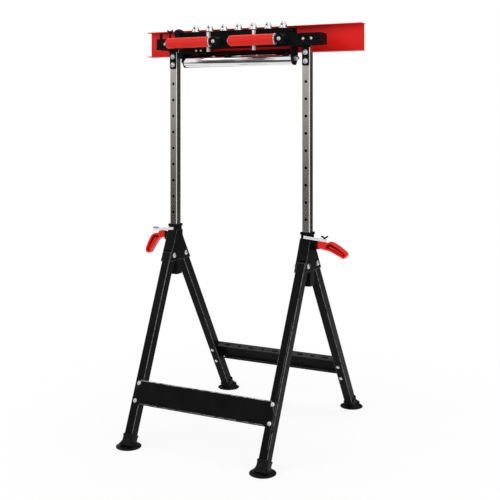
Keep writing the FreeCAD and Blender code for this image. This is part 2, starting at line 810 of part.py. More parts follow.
def hood_rooms(name):
    """What a tall hood leaves free: the socket's collar, the lock strap and its pin."""
    collar_side = f"{SOCKET_SIDE} + 2 * (collar_sheet + running_clearance)"
    collar = middle_box(name + "CollarRoom", collar_side, collar_side, "collar_height + cut_overrun")
    collar.setExpression("Placement.Base.z", formula(f"{SOCKET_TOP} - collar_height - running_clearance"))
    strap = middle_box(name + "StrapRoom", "post_side + 2 * cut_overrun", "lock_strap_gap + cut_overrun",
                       "3 * lock_strap_height")
    strap.setExpression("Placement.Base.y", formula(
        f"running_clearance - {SOCKET_SIDE} / 2 - 2 * lock_strap_gap - cut_overrun"))
    strap.setExpression("Placement.Base.z", formula(f"{LOCK_HEIGHT} - lock_strap_height"))
    pin = rod(name + "PinRoom", "lock_pin_diameter + 2 * hole_play", "post_side")
    place(pin, 0, -size.post_side, lock_height, along_y)
    return [collar, strap, pin]


def pivot_bolts():
    """The four bolts that the legs turn on, their heads towards +X."""
    bolts = []
    for side, sign in SIDES.items():
        for end, frame in FRAMES.items():
            one = bolt(f"{side.title()}{end.title()}PivotBolt", "pivot_bolt_diameter",
                       f"({SOCKET_SIDE} + 2 * hood_sheet)")
            place(one, sign * post_x + hood_half_width, frame["pivot_y"], size.pivot_height, against_x)
            bolts.append(one)
    finish(group("PivotBolts", bolts), "leg_pivot_bolts")


def post(side):
    """A square post with a row of height holes in its front, and two holes for the strap bolts."""
    name = f"{side.title()}Post"
    length = f"(beam_bottom + beam_height - beam_wall - {POST_BOTTOM})"
    tube = square_tube(name + "Tube", "post_side", "post_side", "post_wall", length, "post_corner")
    tube.setExpression("Placement.Base.z", formula(f"{POST_BOTTOM} + {length} / 2"))
    holes = []
    for number in range(int(size.hole_count)):
        hole = rod(f"{name}Hole{number}", "hole_diameter", "post_side / 2 + cut_overrun")
        hole.setExpression("Placement.Base.z", formula(f"{LOCK_HEIGHT} + {number} * {HOLE_PITCH}"))
        hole.Placement.Rotation = along_y
        hole.setExpression("Placement.Base.y", formula("-post_side / 2 - cut_overrun"))
        holes.append(hole)
    for drop in STRAP_BOLTS:
        hole = rod(f"{name}{drop.title()}Hole", "strap_bolt_diameter + 2 * hole_play",
                   "post_side + 2 * cut_overrun")
        hole.setExpression("Placement.Base.z", formula(f"beam_bottom - {drop}"))
        hole.Placement.Rotation = along_y
        hole.setExpression("Placement.Base.y", formula("-post_side / 2 - cut_overrun"))
        holes.append(hole)
    item = cut(name, tube, *holes)
    place(item, SIDES[side] * post_x, post_y, 0)
    finish(item, f"{side}_post")


def beam():
    """The cross beam: a folded channel, open below, with closed ends."""
    outer = middle_box("BeamOuter", BEAM_LENGTH, "beam_depth", "beam_height")
    inner = middle_box("BeamInner", f"{BEAM_LENGTH} - 2 * beam_wall", "beam_depth - 2 * beam_wall",
                       "beam_height")
    inner.setExpression("Placement.Base.z", formula("-beam_wall"))
    tools = [inner]
    middle_y = beam_front_y + size.beam_depth / 2
    for name, x, y, diameter in (("ClampScrew", clamp_screw_x, clamp_screw_y, "clamp_screw_diameter"),
                                 ("WingScrew", wing_screw_x, row_y, "wing_screw_diameter")):
        hole = rod(f"Beam{name}Hole", f"{diameter} + 2 * running_clearance", "beam_height")
        place(hole, x, y - middle_y, size.beam_height / 2)
        tools.append(hole)
    front = -size.beam_depth / 2
    for side, sign in SIDES.items():
        for offset in RIVETS:
            hole = rod(f"Beam{side.title()}{offset.title()}Hole", "rivet_diameter + 2 * hole_play",
                       "2 * cut_overrun")
            place(hole, sign * (post_x + getattr(size, offset)), front - size.cut_overrun,
                  size.rivet_rise, along_y)
            tools.append(hole)
        hole = rod(f"Beam{side.title()}ArmHole", "arm_bolt_diameter + 2 * hole_play", "2 * cut_overrun")
        place(hole, arm_pivot_x(side), front - size.cut_overrun, size.arm_rise, along_y)
        tools.append(hole)
    item = cut("Beam", outer, *tools)
    place(item, 0, middle_y, size.beam_bottom)
    finish(item, "cross_beam")


def post_strap(side):
    """The strap that ties a post to the beam: a strip on the post and a head inside the beam's front."""
    name = f"{side.title()}Strap"
    sign = SIDES[side]
    strip = [
        ("-strap_width / 2", STRAP_BOTTOM), ("strap_width / 2", STRAP_BOTTOM),
        ("strap_width / 2", "beam_bottom - strap_flare_drop"), ("strap_flare_width / 2", "beam_bottom"),
        ("strap_flare_width / 2", "beam_bottom + strap_sheet"),
        ("-strap_flare_width / 2", "beam_bottom + strap_sheet"), ("-strap_flare_width / 2", "beam_bottom"),
        ("-strap_width / 2", "beam_bottom - strap_flare_drop"),
    ]
    plate = prism(name + "Strip", "XZ_Plane", strip, "strap_sheet")
    foot_z = size.beam_bottom - size.strap_drop
    round_edges(plate, Y_AXIS, "strap_corner", keep=lambda middle: abs(middle.z - foot_z) < size.strap_sheet)
    plate.Placement.Base.y = -(size.post_side + size.strap_sheet) / 2
    step_depth = "(beam_front - beam_wall - post_side / 2)"
    step = middle_box(name + "Step", "strap_flare_width", step_depth, "strap_sheet")
    step.setExpression("Placement.Base.y", formula("-beam_front + beam_wall"))
    step.setExpression("Placement.Base.z", formula("beam_bottom"))
    head = box(name + "Head", "strap_head_inner + strap_head_outer", "strap_sheet", "strap_head_height")
    head.setExpression("Placement.Base.y", formula("-beam_front + beam_wall"))
    head.setExpression("Placement.Base.z", formula("beam_bottom"))
    start = "-strap_head_inner" if sign > 0 else "-strap_head_outer"
    head.setExpression("Placement.Base.x", formula(start))
    tools = []
    for drop in STRAP_BOLTS:
        hole = rod(f"{name}{drop.title()}Hole", "strap_bolt_diameter + 2 * hole_play", "post_side")
        place(hole, 0, -size.post_side, size.beam_bottom - getattr(size, drop), along_y)
        tools.append(hole)
    for offset in RIVETS:
        hole = rod(f"{name}{offset.title()}Hole", "rivet_diameter + 2 * hole_play",
                   "beam_front - post_side / 2")
        place(hole, sign * getattr(size, offset), -size.beam_front, size.beam_bottom + size.rivet_rise,
              along_y)
        tools.append(hole)
    item = cut(name, fuse(name + "Solid", plate, step, head), *tools)
    place(item, sign * post_x, post_y, 0)
    finish(item, f"{side}_post_strap")


def strap_fasteners():
    """Dome bolts through strap and post, rivets through beam and strap head, and the plate's rivets."""
    bolts = []
    rivets = []
    for side, sign in SIDES.items():
        for drop in STRAP_BOLTS:
            one = bolt(f"{side.title()}{drop.title()}", "strap_bolt_diameter", "(post_side + strap_sheet)")
            front = post_y - size.post_side / 2 - size.strap_sheet
            bolts.append(place(one, sign * post_x, front, size.beam_bottom - getattr(size, drop), along_y))
        for offset in RIVETS:
            one = bolt(f"{side.title()}{offset.title()}", "rivet_diameter", "(beam_wall + strap_sheet)",
                       nut=False)
            across = sign * (post_x + getattr(size, offset))
            rivets.append(place(one, across, beam_front_y, size.beam_bottom + size.rivet_rise, along_y))
    for inset in PLATE_SCREWS:
        one = bolt(inset.title(), "plate_screw_diameter", "carriage_sheet", nut=False)
        rivets.append(place(one, plate_screw_x(inset), beam_front_y + size.beam_wall,
                            size.beam_bottom - size.plate_screw_drop, along_y))
    finish(group("StrapBolts", bolts), "post_strap_bolts")
    finish(group("BeamRivets", rivets), "beam_rivets")


def back_rail():
    """The long rail behind the beam: an upright web with a lip along its top and its bottom."""
    half = "rail_height / 2"
    front = "rail_front_lip"
    back = "rail_back_lip"
    outline = [
        (f"-{front}", f"-{half}"), (back, f"-{half}"), (back, f"-{half} + rail_sheet"),
        ("rail_sheet", f"-{half} + rail_sheet"), ("rail_sheet", f"{half} - rail_sheet"),
        (back, f"{half} - rail_sheet"), (back, half), (f"-{front}", half),
        (f"-{front}", f"{half} - rail_sheet"), ("0", f"{half} - rail_sheet"),
        ("0", f"-{half} + rail_sheet"), (f"-{front}", f"-{half} + rail_sheet"),
    ]
    item = prism("BackRail", "YZ_Plane", outline, RAIL_LENGTH)
    place(item, 0, post_y + size.rail_offset, size.beam_bottom - size.rail_drop + size.rail_height / 2)
    finish(item, "back_rail")


def rail_brackets():
    """Two folded brackets that carry the back rail behind the beam."""
    gap = "(rail_offset + beam_front - beam_depth)"
    brackets = []
    for side, sign in SIDES.items():
        name = f"{side.title()}RailBracket"
        outer = middle_box(name + "Outer", "rail_bracket_width", gap, "rail_bracket_height")
        inner = middle_box(name + "Inner", "rail_bracket_width - 2 * rail_bracket_sheet",
                           f"{gap} - 2 * rail_bracket_sheet", "rail_bracket_height + 2 * cut_overrun")
        inner.setExpression("Placement.Base.z", formula("-cut_overrun"))
        item = cut(name, outer, inner)
        middle_y = (beam_back_y + post_y + size.rail_offset) / 2
        place(item, sign * (post_x - size.rail_bracket_inset), middle_y,
              size.beam_bottom + (size.beam_height - size.rail_bracket_height) / 2)
        brackets.append(item)
    finish(group("RailBrackets", brackets), "rail_brackets")


def ball_rail():
    """The channel on top of the beam that carries the ball cups, with the screws at its ends."""
    outer = middle_box("BallRailOuter", BALL_RAIL_LENGTH, "ball_rail_width", "ball_rail_height")
    inner = middle_box("BallRailInner", f"{BALL_RAIL_LENGTH} + 2 * cut_overrun",
                       "ball_rail_width - 2 * ball_rail_wall", "ball_rail_height")
    inner.setExpression("Placement.Base.z", formula("-ball_rail_wall"))
    tools = [inner]
    screws = []
    for side, sign in SIDES.items():
        x = sign * (post_x - size.ball_rail_room - getattr(size, f"{side}_rail_screw_inset"))
        hole = rod(f"BallRail{side.title()}Hole", "ball_rail_screw_diameter + 2 * hole_play",
                   "2 * cut_overrun")
        place(hole, x, -size.ball_rail_width / 2 - size.cut_overrun, size.ball_rail_height / 2, along_y)
        tools.append(hole)
        screw = bolt(f"BallRail{side.title()}Screw", "ball_rail_screw_diameter", "ball_rail_wall", nut=False)
        place(screw, x, row_y - size.ball_rail_width / 2, beam_top + size.ball_rail_height / 2, along_y)
        screws.append(screw)
    item = cut("BallRail", outer, *tools)
    place(item, 0, row_y, beam_top)
    finish(item, "ball_rail")
    finish(group("BallRailScrews", screws), "ball_rail_screws")


def balls():
    """The ball cups on the rail, and the ball that runs in each."""
    cups = []
    rail_top = beam_top + size.ball_rail_height
    pitch = 2 * (post_x - size.ball_row_inset) / (size.ball_count - 1)
    for number in range(int(size.ball_count)):
        x = (number - (size.ball_count - 1) / 2) * pitch
        flange = rod(f"Cup{number}Flange", "cup_flange_diameter", "cup_flange_height")
        shell = cone(f"Cup{number}Shell", "cup_base_diameter", "cup_shoulder_diameter",
                     "cup_shoulder_height")
        neck = cone(f"Cup{number}Neck", "cup_shoulder_diameter", "cup_mouth_diameter",
                    "cup_height - cup_shoulder_height")
        neck.setExpression("Placement.Base.z", formula("cup_shoulder_height"))
        seat = doc.addObject("Part::Sphere", f"Cup{number}Seat")
        bind(seat, Radius="ball_diameter / 2 + running_clearance")
        seat.setExpression("Placement.Base.z", formula("cup_height + ball_rise - ball_diameter / 2"))
        cup = cut(f"Cup{number}", fuse(f"Cup{number}Solid", flange, shell, neck), seat)
        cups.append(place(cup, x, row_y, rail_top))
        ball = doc.addObject("Part::Sphere", f"Ball{number}")
        bind(ball, Radius="ball_diameter / 2")
        height = rail_top + size.cup_height + size.ball_rise - size.ball_diameter / 2
        finish(place(ball, x, row_y, height), f"ball_{number + 1}")
    finish(group("Cups", cups), "ball_cups")


def roller():
    """The roller tube with its end caps, and the axle with its nuts."""
    tube = rod("RollerTube", "roller_diameter", ROLLER_LENGTH)
    hollow = rod("RollerHollow", "roller_diameter - 2 * roller_wall", f"{ROLLER_LENGTH} - 2 * roller_cap")
    hollow.setExpression("Placement.Base.z", formula("roller_cap"))
    bore = rod("RollerBore", "axle_diameter + 2 * running_clearance", ROLLER_LENGTH)
    item = cut("Roller", tube, hollow, bore)
    place(item, -roller_half, row_y, roller_z, along_x)
    finish(item, "roller")
    grip = f"({ROLLER_LENGTH} + 2 * (carriage_gap + carriage_sheet))"
    shaft = rod("AxleShaft", "axle_diameter", f"{grip} + 2 * (axle_nut_height + axle_end_length)")
    nuts = []
    for number, start in enumerate(("axle_end_length", f"{grip} + axle_nut_height + axle_end_length")):
        nut = doc.addObject("Part::Prism", f"AxleNut{number}")
        nut.Polygon = 6
        bind(nut, Circumradius="axle_nut_size / 2", Height="axle_nut_height")
        nut.setExpression("Placement.Base.z", formula(start))
        nuts.append(nut)
    axle = fuse("Axle", shaft, *nuts)
    place(axle, -carriage_face - size.axle_nut_height - size.axle_end_length, row_y, roller_z, along_x)
    finish(axle, "roller_axle")


def roller_carriage():
    """Two end plates that hold the axle, a bar behind the roller and a plate over its left end.

    Its origin is on the beam's lower face, above the middle of the roller.
    """
    half = f"({ROLLER_LENGTH} / 2 + carriage_gap)"
    middle_y = beam_front_y + size.beam_depth / 2
    pieces = []
    holes = []
    for side, sign in SIDES.items():
        name = f"{side.title()}Carriage"
        body = prism(name + "Plate", "YZ_Plane", [
            ("-beam_depth / 2", "0"), ("-beam_depth / 2", "-roller_drop"),
            ("-carriage_tail_width / 2", "-roller_drop - carriage_tail"),
            ("carriage_tail_width / 2", "-roller_drop - carriage_tail"),
            ("beam_depth / 2", "-roller_drop"), ("beam_depth / 2", "0"),
        ], "carriage_sheet")
        round_edges(body, X_AXIS, "carriage_corner", keep=lambda middle: middle.z < -size.carriage_flange)
        body.setExpression("Placement.Base.x", formula(f"{sign} * ({half} + carriage_sheet / 2)"))
        flange = box(name + "Flange", "carriage_flange", "beam_depth", "carriage_sheet")
        flange.setExpression("Placement.Base.y", formula("-beam_depth / 2"))
        flange.setExpression("Placement.Base.z", formula("-carriage_sheet"))
        start = half if sign > 0 else f"-{half} - carriage_flange"
        flange.setExpression("Placement.Base.x", formula(start))
        hole = rod(name + "Hole", "axle_diameter", "2 * carriage_flange")
        place(hole, sign * carriage_face - size.carriage_flange, row_y - middle_y, -size.roller_drop,
              along_x)
        pieces += [body, flange]
        holes.append(hole)
    bar = middle_box("CarriageBar", f"2 * {half}", "carriage_sheet", "carriage_bar_height")
    bar.setExpression("Placement.Base.z", formula("-carriage_bar_drop - carriage_bar_height"))
    behind = "beam_front - beam_depth / 2 - row_offset + roller_diameter / 2 + carriage_bar_gap"
    bar.setExpression("Placement.Base.y", formula(behind))
    plate = box("CarriagePlate", "carriage_plate_length", "carriage_sheet", "carriage_plate_height")
    plate.setExpression("Placement.Base.x", formula(f"-{half}"))
    plate.setExpression("Placement.Base.y", formula("beam_wall - beam_depth / 2"))
    plate.setExpression("Placement.Base.z", formula("-carriage_plate_height"))
    for inset in PLATE_SCREWS:
        hole = rod(inset.title() + "Hole", "plate_screw_diameter + 2 * hole_play", "2 * cut_overrun")
        place(hole, plate_screw_x(inset), -size.beam_depth / 2, -size.plate_screw_drop, along_y)
        holes.append(hole)
    item = cut("Carriage", fuse("CarriageSolid", *pieces, bar, plate), *holes)
    place(item, 0, middle_y, size.beam_bottom)
    finish(item, "roller_carriage")


def plate_screw_x(inset):
    """Where a rivet of the carriage's plate is, measured from the plate's right end."""
    return size.carriage_plate_length - roller_half - size.carriage_gap - getattr(size, inset)


def arm_pivot_x(side):
    """Where an arm's pivot is along the beam."""
    right = post_x - size.arm_inset
    return right if side == "right" else right - size.arm_spacing


def arm(side):
    """A swinging arm: a plate with a grooved hub, a bar with an eye in the groove, and a grip sleeve."""
    name = f"{side.title()}Arm"
    x = arm_pivot_x(side)
    plate = prism(name + "Plate", "XZ_Plane", rectangle("arm_plate_length", "arm_plate_height"),
                  "arm_plate_sheet")
    round_edges(plate, Y_AXIS, "arm_plate_corner")
    place(plate, size.arm_plate_shift, -size.arm_plate_sheet / 2, 0)
    hub = rod(name + "Hub", "hub_diameter", "hub_end - beam_front")
    place(hub, 0, size.beam_front - size.hub_end, 0, along_y)
    hole = rod(name + "HubHole", "arm_bolt_diameter + 2 * hole_play", "hub_end")
    place(hole, 0, -size.hub_end + size.cut_overrun, 0, along_y)
    core = "(hub_diameter - 2 * (arm_eye_wall + running_clearance))"
    around = rod(name + "Around", "2 * hub_diameter", "arm_eye_width + 2 * running_clearance")
    groove = cut(name + "Groove", around, rod(name + "Core", core, "2 * arm_eye_width"))
    groove_y = size.beam_front - size.arm_offset - size.arm_eye_width / 2 - size.running_clearance
    place(groove, 0, groove_y, 0, along_y)
    bracket = cut(name + "Bracket", fuse(name + "BracketSolid", plate, hub), groove, hole)
    place(bracket, x, beam_front_y, arm_height)
    finish(bracket, f"{side}_arm_bracket")
    eye = rod(name + "Eye", "hub_diameter", "arm_eye_width")
    place(eye, 0, -size.arm_eye_width / 2, 0, along_y)
    neck = box(name + "Neck", "grip_start", "arm_eye_width", "arm_neck_height")
    neck.setExpression("Placement.Base.x", formula("-grip_start"))
    neck.setExpression("Placement.Base.y", formula("-arm_eye_width / 2"))
    neck.setExpression("Placement.Base.z", formula("-arm_neck_height / 2"))
    cup = rod(name + "Cup", "grip_diameter", "arm_cup_sheet")
    place(cup, -size.grip_start, 0, 0, along_x)
    shaft = rod(name + "Rod", "arm_rod_diameter", "grip_length + arm_tip_length")
    place(shaft, -size.grip_start, 0, 0, against_x)
    tip = rod(name + "Tip", "arm_tip_diameter", "arm_tip_length")
    place(tip, -size.grip_start - size.grip_length, 0, 0, against_x)
    eye_hole = rod(name + "EyeHole", f"{core} + 2 * running_clearance", "2 * arm_eye_width")
    place(eye_hole, 0, -size.arm_eye_width, 0, along_y)
    bar = cut(name + "Bar", fuse(name + "BarSolid", eye, neck, cup, shaft, tip), eye_hole)
    place(bar, x, post_y - size.arm_offset, arm_height)
    finish(bar, f"{side}_arm_bar")
    grip_body = new_body(name + "Grip")
    sketch = sketch_on(grip_body, "XZ_Plane", name + "GripOutline", [
        ("arm_rod_diameter / 2", "0"), ("grip_diameter / 2", "0"),
        ("grip_diameter / 2", "grip_length"), ("arm_rod_diameter / 2", "grip_length"),
    ])
    turned = grip_body.newObject("PartDesign::Revolution", name + "GripTurned")
    turned.Profile = sketch
    turned.ReferenceAxis = (sketch, ["V_Axis"])
    turned.Angle = 360
    doc.recompute()
    for radius, end in (("grip_round", size.grip_length), ("grip_edge", 0)):
        round_rim(grip_body, radius, end)
    place(grip_body, x - size.grip_start, post_y - size.arm_offset, arm_height, against_x)
    finish(grip_body, f"{side}_arm_grip")


def arm_bolts():
    """The bolts through hub and beam that the arms turn on."""
    bolts = []
    for side in SIDES:
        one = bolt(f"{side.title()}ArmBolt", "arm_bolt_diameter", "(hub_end - beam_front + beam_wall)")
        bolts.append(place(one, arm_pivot_x(side), post_y - size.hub_end, arm_height, along_y))
    finish(group("ArmBolts", bolts), "arm_pivot_bolts")


def stop_straps():
    """Two narrow straps on the beam's front, with a flange turned back above and below it."""
    straps = []
    for side in SIDES:
        name = f"{side.title()}StopStrap"
        web = middle_box(name + "Web", "stop_strap_width", "stop_strap_sheet", "stop_strap_height")
        web.setExpression("Placement.Base.y", formula("-stop_strap_sheet"))
        flange = box(name + "Flange", "stop_strap_sheet", "stop_strap_depth", "stop_strap_height")
        flange.setExpression("Placement.Base.x", formula("stop_strap_width / 2 - stop_strap_sheet"))
        flange.setExpression("Placement.Base.y", formula("-stop_strap_sheet"))
        notch = box(name + "Notch", "2 * stop_strap_width", "2 * stop_strap_depth", "beam_height")
        notch.setExpression("Placement.Base.x", formula("-stop_strap_width"))
        notch.setExpression("Placement.Base.z", formula("stop_strap_drop"))
        strap = cut(name, fuse(name + "Solid", web, flange), notch)
        x = arm_pivot_x(side) - getattr(size, f"stop_strap_{side}_offset")
        straps.append(place(strap, x, beam_front_y, size.beam_bottom - size.stop_strap_drop))
    finish(group("StopStraps", straps), "stop_straps")


def clamp_lever(side):
    """The clevis on the hood, the lever between its ears and the pin through both."""
    name = f"{side.title()}Lever"
    sign = SIDES[side]
    flip = Rotation() if sign > 0 else Rotation(Z_AXIS, 180)
    outer = box(name + "Clevis", "clevis_length", "lever_width + 2 * (running_clearance + clevis_ear)",
                "clevis_height")
    outer.setExpression("Placement.Base.y", formula("-lever_width / 2 - running_clearance - clevis_ear"))
    outer.setExpression("Placement.Base.z", formula("-clevis_height / 2"))
    gap = box(name + "Gap", "clevis_length", "lever_width + 2 * running_clearance",
              "clevis_height + 2 * cut_overrun")
    gap.setExpression("Placement.Base.x", formula("clevis_base"))
    gap.setExpression("Placement.Base.y", formula("-lever_width / 2 - running_clearance"))
    gap.setExpression("Placement.Base.z", formula("-clevis_height / 2 - cut_overrun"))
    pivot_out = size.lever_pivot_reach - hood_half_width
    hole = rod(name + "ClevisHole", "lever_pin_diameter + 2 * hole_play", "2 * lever_width")
    place(hole, pivot_out, -size.lever_width, 0, along_y)
    clevis = cut(name + "Block", outer, gap, hole)
    place(clevis, sign * (post_x + hood_half_width), post_y, lever_height, flip)
    finish(clevis, f"{side}_clamp_block")

    root = f"(lever_pivot_reach - {SOCKET_SIDE} / 2 - hood_sheet - clevis_base - running_clearance)"
    steps = [math.radians(angle) for angle in range(90, 271, 30)]
    outline = [(f"lever_length * {across}", f"lever_length * {up}") for across, up in lever_tip_shares]
    outline += [(f"{root} * {math.cos(step):.4f}", f"{root} * {math.sin(step):.4f}") for step in steps]
    body = prism(name, "XZ_Plane", outline, "lever_width")
    round_faces(body, Y_AXIS, "lever_edge")
    pin_hole = rod(name + "PinHole", "lever_pin_diameter + 2 * running_clearance", "2 * lever_width")
    place(pin_hole, 0, -size.lever_width, 0, along_y)
    item = cut(name + "Drilled", body, pin_hole)
    turn = Rotation(Y_AXIS, 0 if sign > 0 else size.left_lever_turn)
    place(item, sign * (post_x + size.lever_pivot_reach), post_y, lever_height, flip.multiply(turn))
    finish(item, f"{side}_clamp_lever")


def lever_pins():
    """The pins of the two clamp levers."""
    pins = []
    for side, sign in SIDES.items():
        half = size.lever_width / 2 + size.running_clearance + size.clevis_ear
        one = bolt(f"{side.title()}LeverPin", "lever_pin_diameter",
                   "(lever_width + 2 * (running_clearance + clevis_ear))", nut=False)
        place(one, sign * (post_x + size.lever_pivot_reach), post_y - half, lever_height, along_y)
        pins.append(one)
    finish(group("LeverPins", pins), "lever_pivot_pins")


def lock_strap(side):
    """The strip in front of the socket, with its pin in the socket's hole and a tab at its outer end."""
    name = f"{side.title()}Lock"
    sign = SIDES[side]
    strip = box(name + "Strip", "lock_strap_length", "lock_strap_sheet", "lock_strap_height")
    start = "-lock_strap_inner" if sign > 0 else "lock_strap_inner - lock_strap_length"
    strip.setExpression("Placement.Base.x", formula(start))
    strip.setExpression("Placement.Base.y", formula("-lock_strap_sheet"))
    strip.setExpression("Placement.Base.z", formula("-lock_strap_height / 2"))
    pin = rod(name + "Pin", "lock_pin_diameter", "lock_strap_gap + socket_wall - running_clearance")
    place(pin, 0, 0, 0, along_y)
    item = fuse(name + "Strap", strip, pin)
    tilt = Rotation(Y_AXIS, sign * size.lock_strap_tilt)
    y = post_y - socket_side / 2 - size.lock_strap_gap
    place(item, sign * post_x, y, lock_height, tilt)
    finish(item, f"{side}_lock_strap")
    tab = box(name + "Tab", "lock_tab_length", "lock_tab_depth", "lock_tab_height")
    far = size.lock_strap_length - size.lock_strap_inner - size.lock_tab_length
    local = FreeCAD.Placement(
        Vector(sign * far if sign > 0 else -far - size.lock_tab_length, -size.lock_strap_sheet,
               size.lock_strap_height / 2), Rotation())
    tab.Placement = item.Placement.multiply(local)
    finish(tab, f"{side}_lock_tab")


def clamp_screw():
    """The clamp block under the beam's left end, and its screw with a domed knob above the beam."""
    block = middle_box("ClampBlockSolid", "clamp_block_width", "clamp_block_depth", "clamp_block_height")
    block_x = (size.post_side + size.clamp_block_width - size.post_spacing) / 2
    hole = rod("ClampBlockHole", "clamp_screw_diameter + 2 * running_clearance", "clamp_block_height")
    place(hole, clamp_screw_x - block_x, clamp_screw_y - post_y, size.clamp_block_height / 2)
    item = cut("ClampBlock", block, hole)
    place(item, block_x, post_y, size.beam_bottom - size.clamp_block_drop - size.clamp_block_height)
    finish(item, "clamp_block")
    reach = "(clamp_knob_rise + beam_height + clamp_block_drop + clamp_block_height / 2 - cut_overrun)"
    screw = rod("ClampScrew", "clamp_screw_diameter", reach)
    screw.setExpression("Placement.Base.z", formula(f"-{reach}"))
    neck = rod("ClampKnobNeck", "clamp_knob_neck", "clamp_knob_rise - running_clearance")
    neck.setExpression("Placement.Base.z", formula("running_clearance - clamp_knob_rise"))
    head = rod("ClampKnobHead", "clamp_knob_diameter", "clamp_knob_height")
    top = dome("ClampKnobTop", "clamp_knob_diameter", "clamp_knob_dome", "clamp_knob_height")
    knob = fuse("ClampKnob", screw, neck, head, top)
    place(knob, clamp_screw_x, clamp_screw_y, beam_top + size.clamp_knob_rise)
    finish(knob, "clamp_knob")


def wing_screw():
    """A bent strap that stands on the beam's left end, and the wing screw through strap and beam."""
    top = box("WingStrapTop", "wing_strap_length", "wing_strap_width", "wing_strap_sheet")
    top.setExpression("Placement.Base.z", formula("wing_strap_height - wing_strap_sheet"))
    leg = box("WingStrapLeg", "wing_strap_sheet", "wing_strap_width", "wing_strap_height")
    hole = rod("WingStrapHole", "wing_screw_diameter + 2 * running_clearance", "2 * wing_strap_height")
    hole.setExpression("Placement.Base.x", formula("wing_strap_length - wing_strap_overhang"))
    hole.setExpression("Placement.Base.y", formula("wing_strap_width / 2"))
    strap = cut("WingStrap", fuse("WingStrapSolid", top, leg), hole)
    start = wing_screw_x + size.wing_strap_overhang - size.wing_strap_length
    place(strap, start, row_y - size.wing_strap_width / 2, beam_top)
    finish(strap, "wing_strap")
    hub_height = f"wing_height * {wing_shares[4][1]}"
    hub = rod("WingHub", "wing_hub_diameter", hub_height)
    shank = rod("WingShank", "wing_screw_diameter", f"wing_screw_depth + {hub_height}")
    shank.setExpression("Placement.Base.z", formula("-wing_screw_depth"))
    outline = [(f"wing_span * {across}", f"wing_height * {up}") for across, up in wing_shares]
    wings = prism("Wings", "XZ_Plane", outline, "wing_thickness")
    wing = fuse("WingScrew", shank, hub, wings)
    place(wing, wing_screw_x, row_y, beam_top + size.wing_strap_height + size.running_clearance)
    finish(wing, "wing_screw")


for end_name in FRAMES:
    for side_name in SIDES:
        leg(end_name, side_name)
        foot(end_name, side_name)
    stretcher(end_name)
for side_name in SIDES:
    socket(side_name)
    hood(side_name)
    post(side_name)
    post_strap(side_name)
    arm(side_name)
    clamp_lever(side_name)
    lock_strap(side_name)
pivot_bolts()
beam()
strap_fasteners()
back_rail()
rail_brackets()
ball_rail()
balls()
roller()
roller_carriage()
arm_bolts()
stop_straps()
lever_pins()
clamp_screw()
wing_screw()

doc.recompute()
for item in doc.Objects:
    if "Invalid" in item.State or "Error" in item.State:
        raise RuntimeError(f"{item.Label} is {item.State}")
os.makedirs("parts", exist_ok=True)
for item in subparts:
    if item.Shape.isNull() or not item.Shape.isValid():
        raise RuntimeError(f"{item.Label} has no valid shape")
    item.Shape.exportStep(f"parts/{item.Label}.step")
print(len(subparts), "sub-parts")
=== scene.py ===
"""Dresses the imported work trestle: finishes, moulded and turned pieces, camera and studio."""

import json
import math

import bmesh
import bpy
from mathutils import Matrix, Vector


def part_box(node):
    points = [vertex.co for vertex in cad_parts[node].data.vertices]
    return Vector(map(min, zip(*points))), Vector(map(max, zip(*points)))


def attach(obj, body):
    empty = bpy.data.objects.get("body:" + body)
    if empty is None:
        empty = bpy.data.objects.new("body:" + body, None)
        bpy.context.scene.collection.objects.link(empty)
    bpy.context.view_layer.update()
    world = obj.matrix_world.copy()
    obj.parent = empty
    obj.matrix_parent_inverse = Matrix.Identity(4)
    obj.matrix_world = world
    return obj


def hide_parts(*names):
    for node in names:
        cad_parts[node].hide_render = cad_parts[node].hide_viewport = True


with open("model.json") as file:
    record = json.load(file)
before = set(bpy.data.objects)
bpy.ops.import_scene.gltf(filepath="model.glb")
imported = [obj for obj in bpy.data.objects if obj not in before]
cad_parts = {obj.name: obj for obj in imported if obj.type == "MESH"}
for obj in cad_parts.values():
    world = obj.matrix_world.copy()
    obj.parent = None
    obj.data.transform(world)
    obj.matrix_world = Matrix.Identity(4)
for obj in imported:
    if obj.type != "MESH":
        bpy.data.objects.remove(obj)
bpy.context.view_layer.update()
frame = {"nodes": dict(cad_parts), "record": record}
NODES = frame["nodes"]
BEHAVIOUR = frame["record"]["behaviour"]
BODY_OF = {node: body for body, members in BEHAVIOUR["bodies"].items() for node in members}
JOINTS = {joint["name"]: joint for joint in BEHAVIOUR["joints"]}

bl_info = {
    "name": "Work Trestle Dresser",
    "version": (1, 0, 0),
    "blender": (4, 5, 0),
    "location": "3D View > Sidebar > Trestle",
    "description": "Finishes and detailed pieces for a height-adjustable work trestle",
    "category": "Object",
}

MM = 0.001
DOUBLES_REACH = 0.001 * MM
WELD_REACH = 0.01 * MM
EDGE_ANGLE = 30
CREASE_ANGLE = 35

# Which nodes keep their own shape, and the finish that each wears.
BLACK_SHEET = [
    "left_hood_bracket", "right_hood_bracket", "left_socket_tube", "right_socket_tube",
    "front_left_leg", "front_right_leg", "rear_left_leg", "rear_right_leg",
    "cross_beam", "ball_rail", "left_post_strap", "right_post_strap", "rail_brackets",
    "left_arm_bracket", "right_arm_bracket", "roller_carriage", "wing_strap",
    "left_clamp_block", "right_clamp_block", "ball_rail_screws", "lever_pivot_pins",
]
BRIGHT_ZINC = ["beam_rivets", "roller_axle", "stop_straps", "left_lock_strap", "right_lock_strap"]
BLACK_MOULDED = ["clamp_block", "wing_screw"]
SIDES = {"left": -1, "right": 1}
ENDS = {"front": -1, "rear": 1}
BALLS = sorted(name for name in NODES if name.startswith("ball_") and name[-1].isdigit())


def tint(name, description, default):
    """A colour among the settings."""
    return bpy.props.FloatVectorProperty(
        name=name, description=description, subtype="COLOR", default=default, min=0, max=1)


def span(name, description, default):
    """A length among the settings. Its default is given in millimetres."""
    return bpy.props.FloatProperty(
        name=name, description=description, subtype="DISTANCE", default=default * MM, min=0)


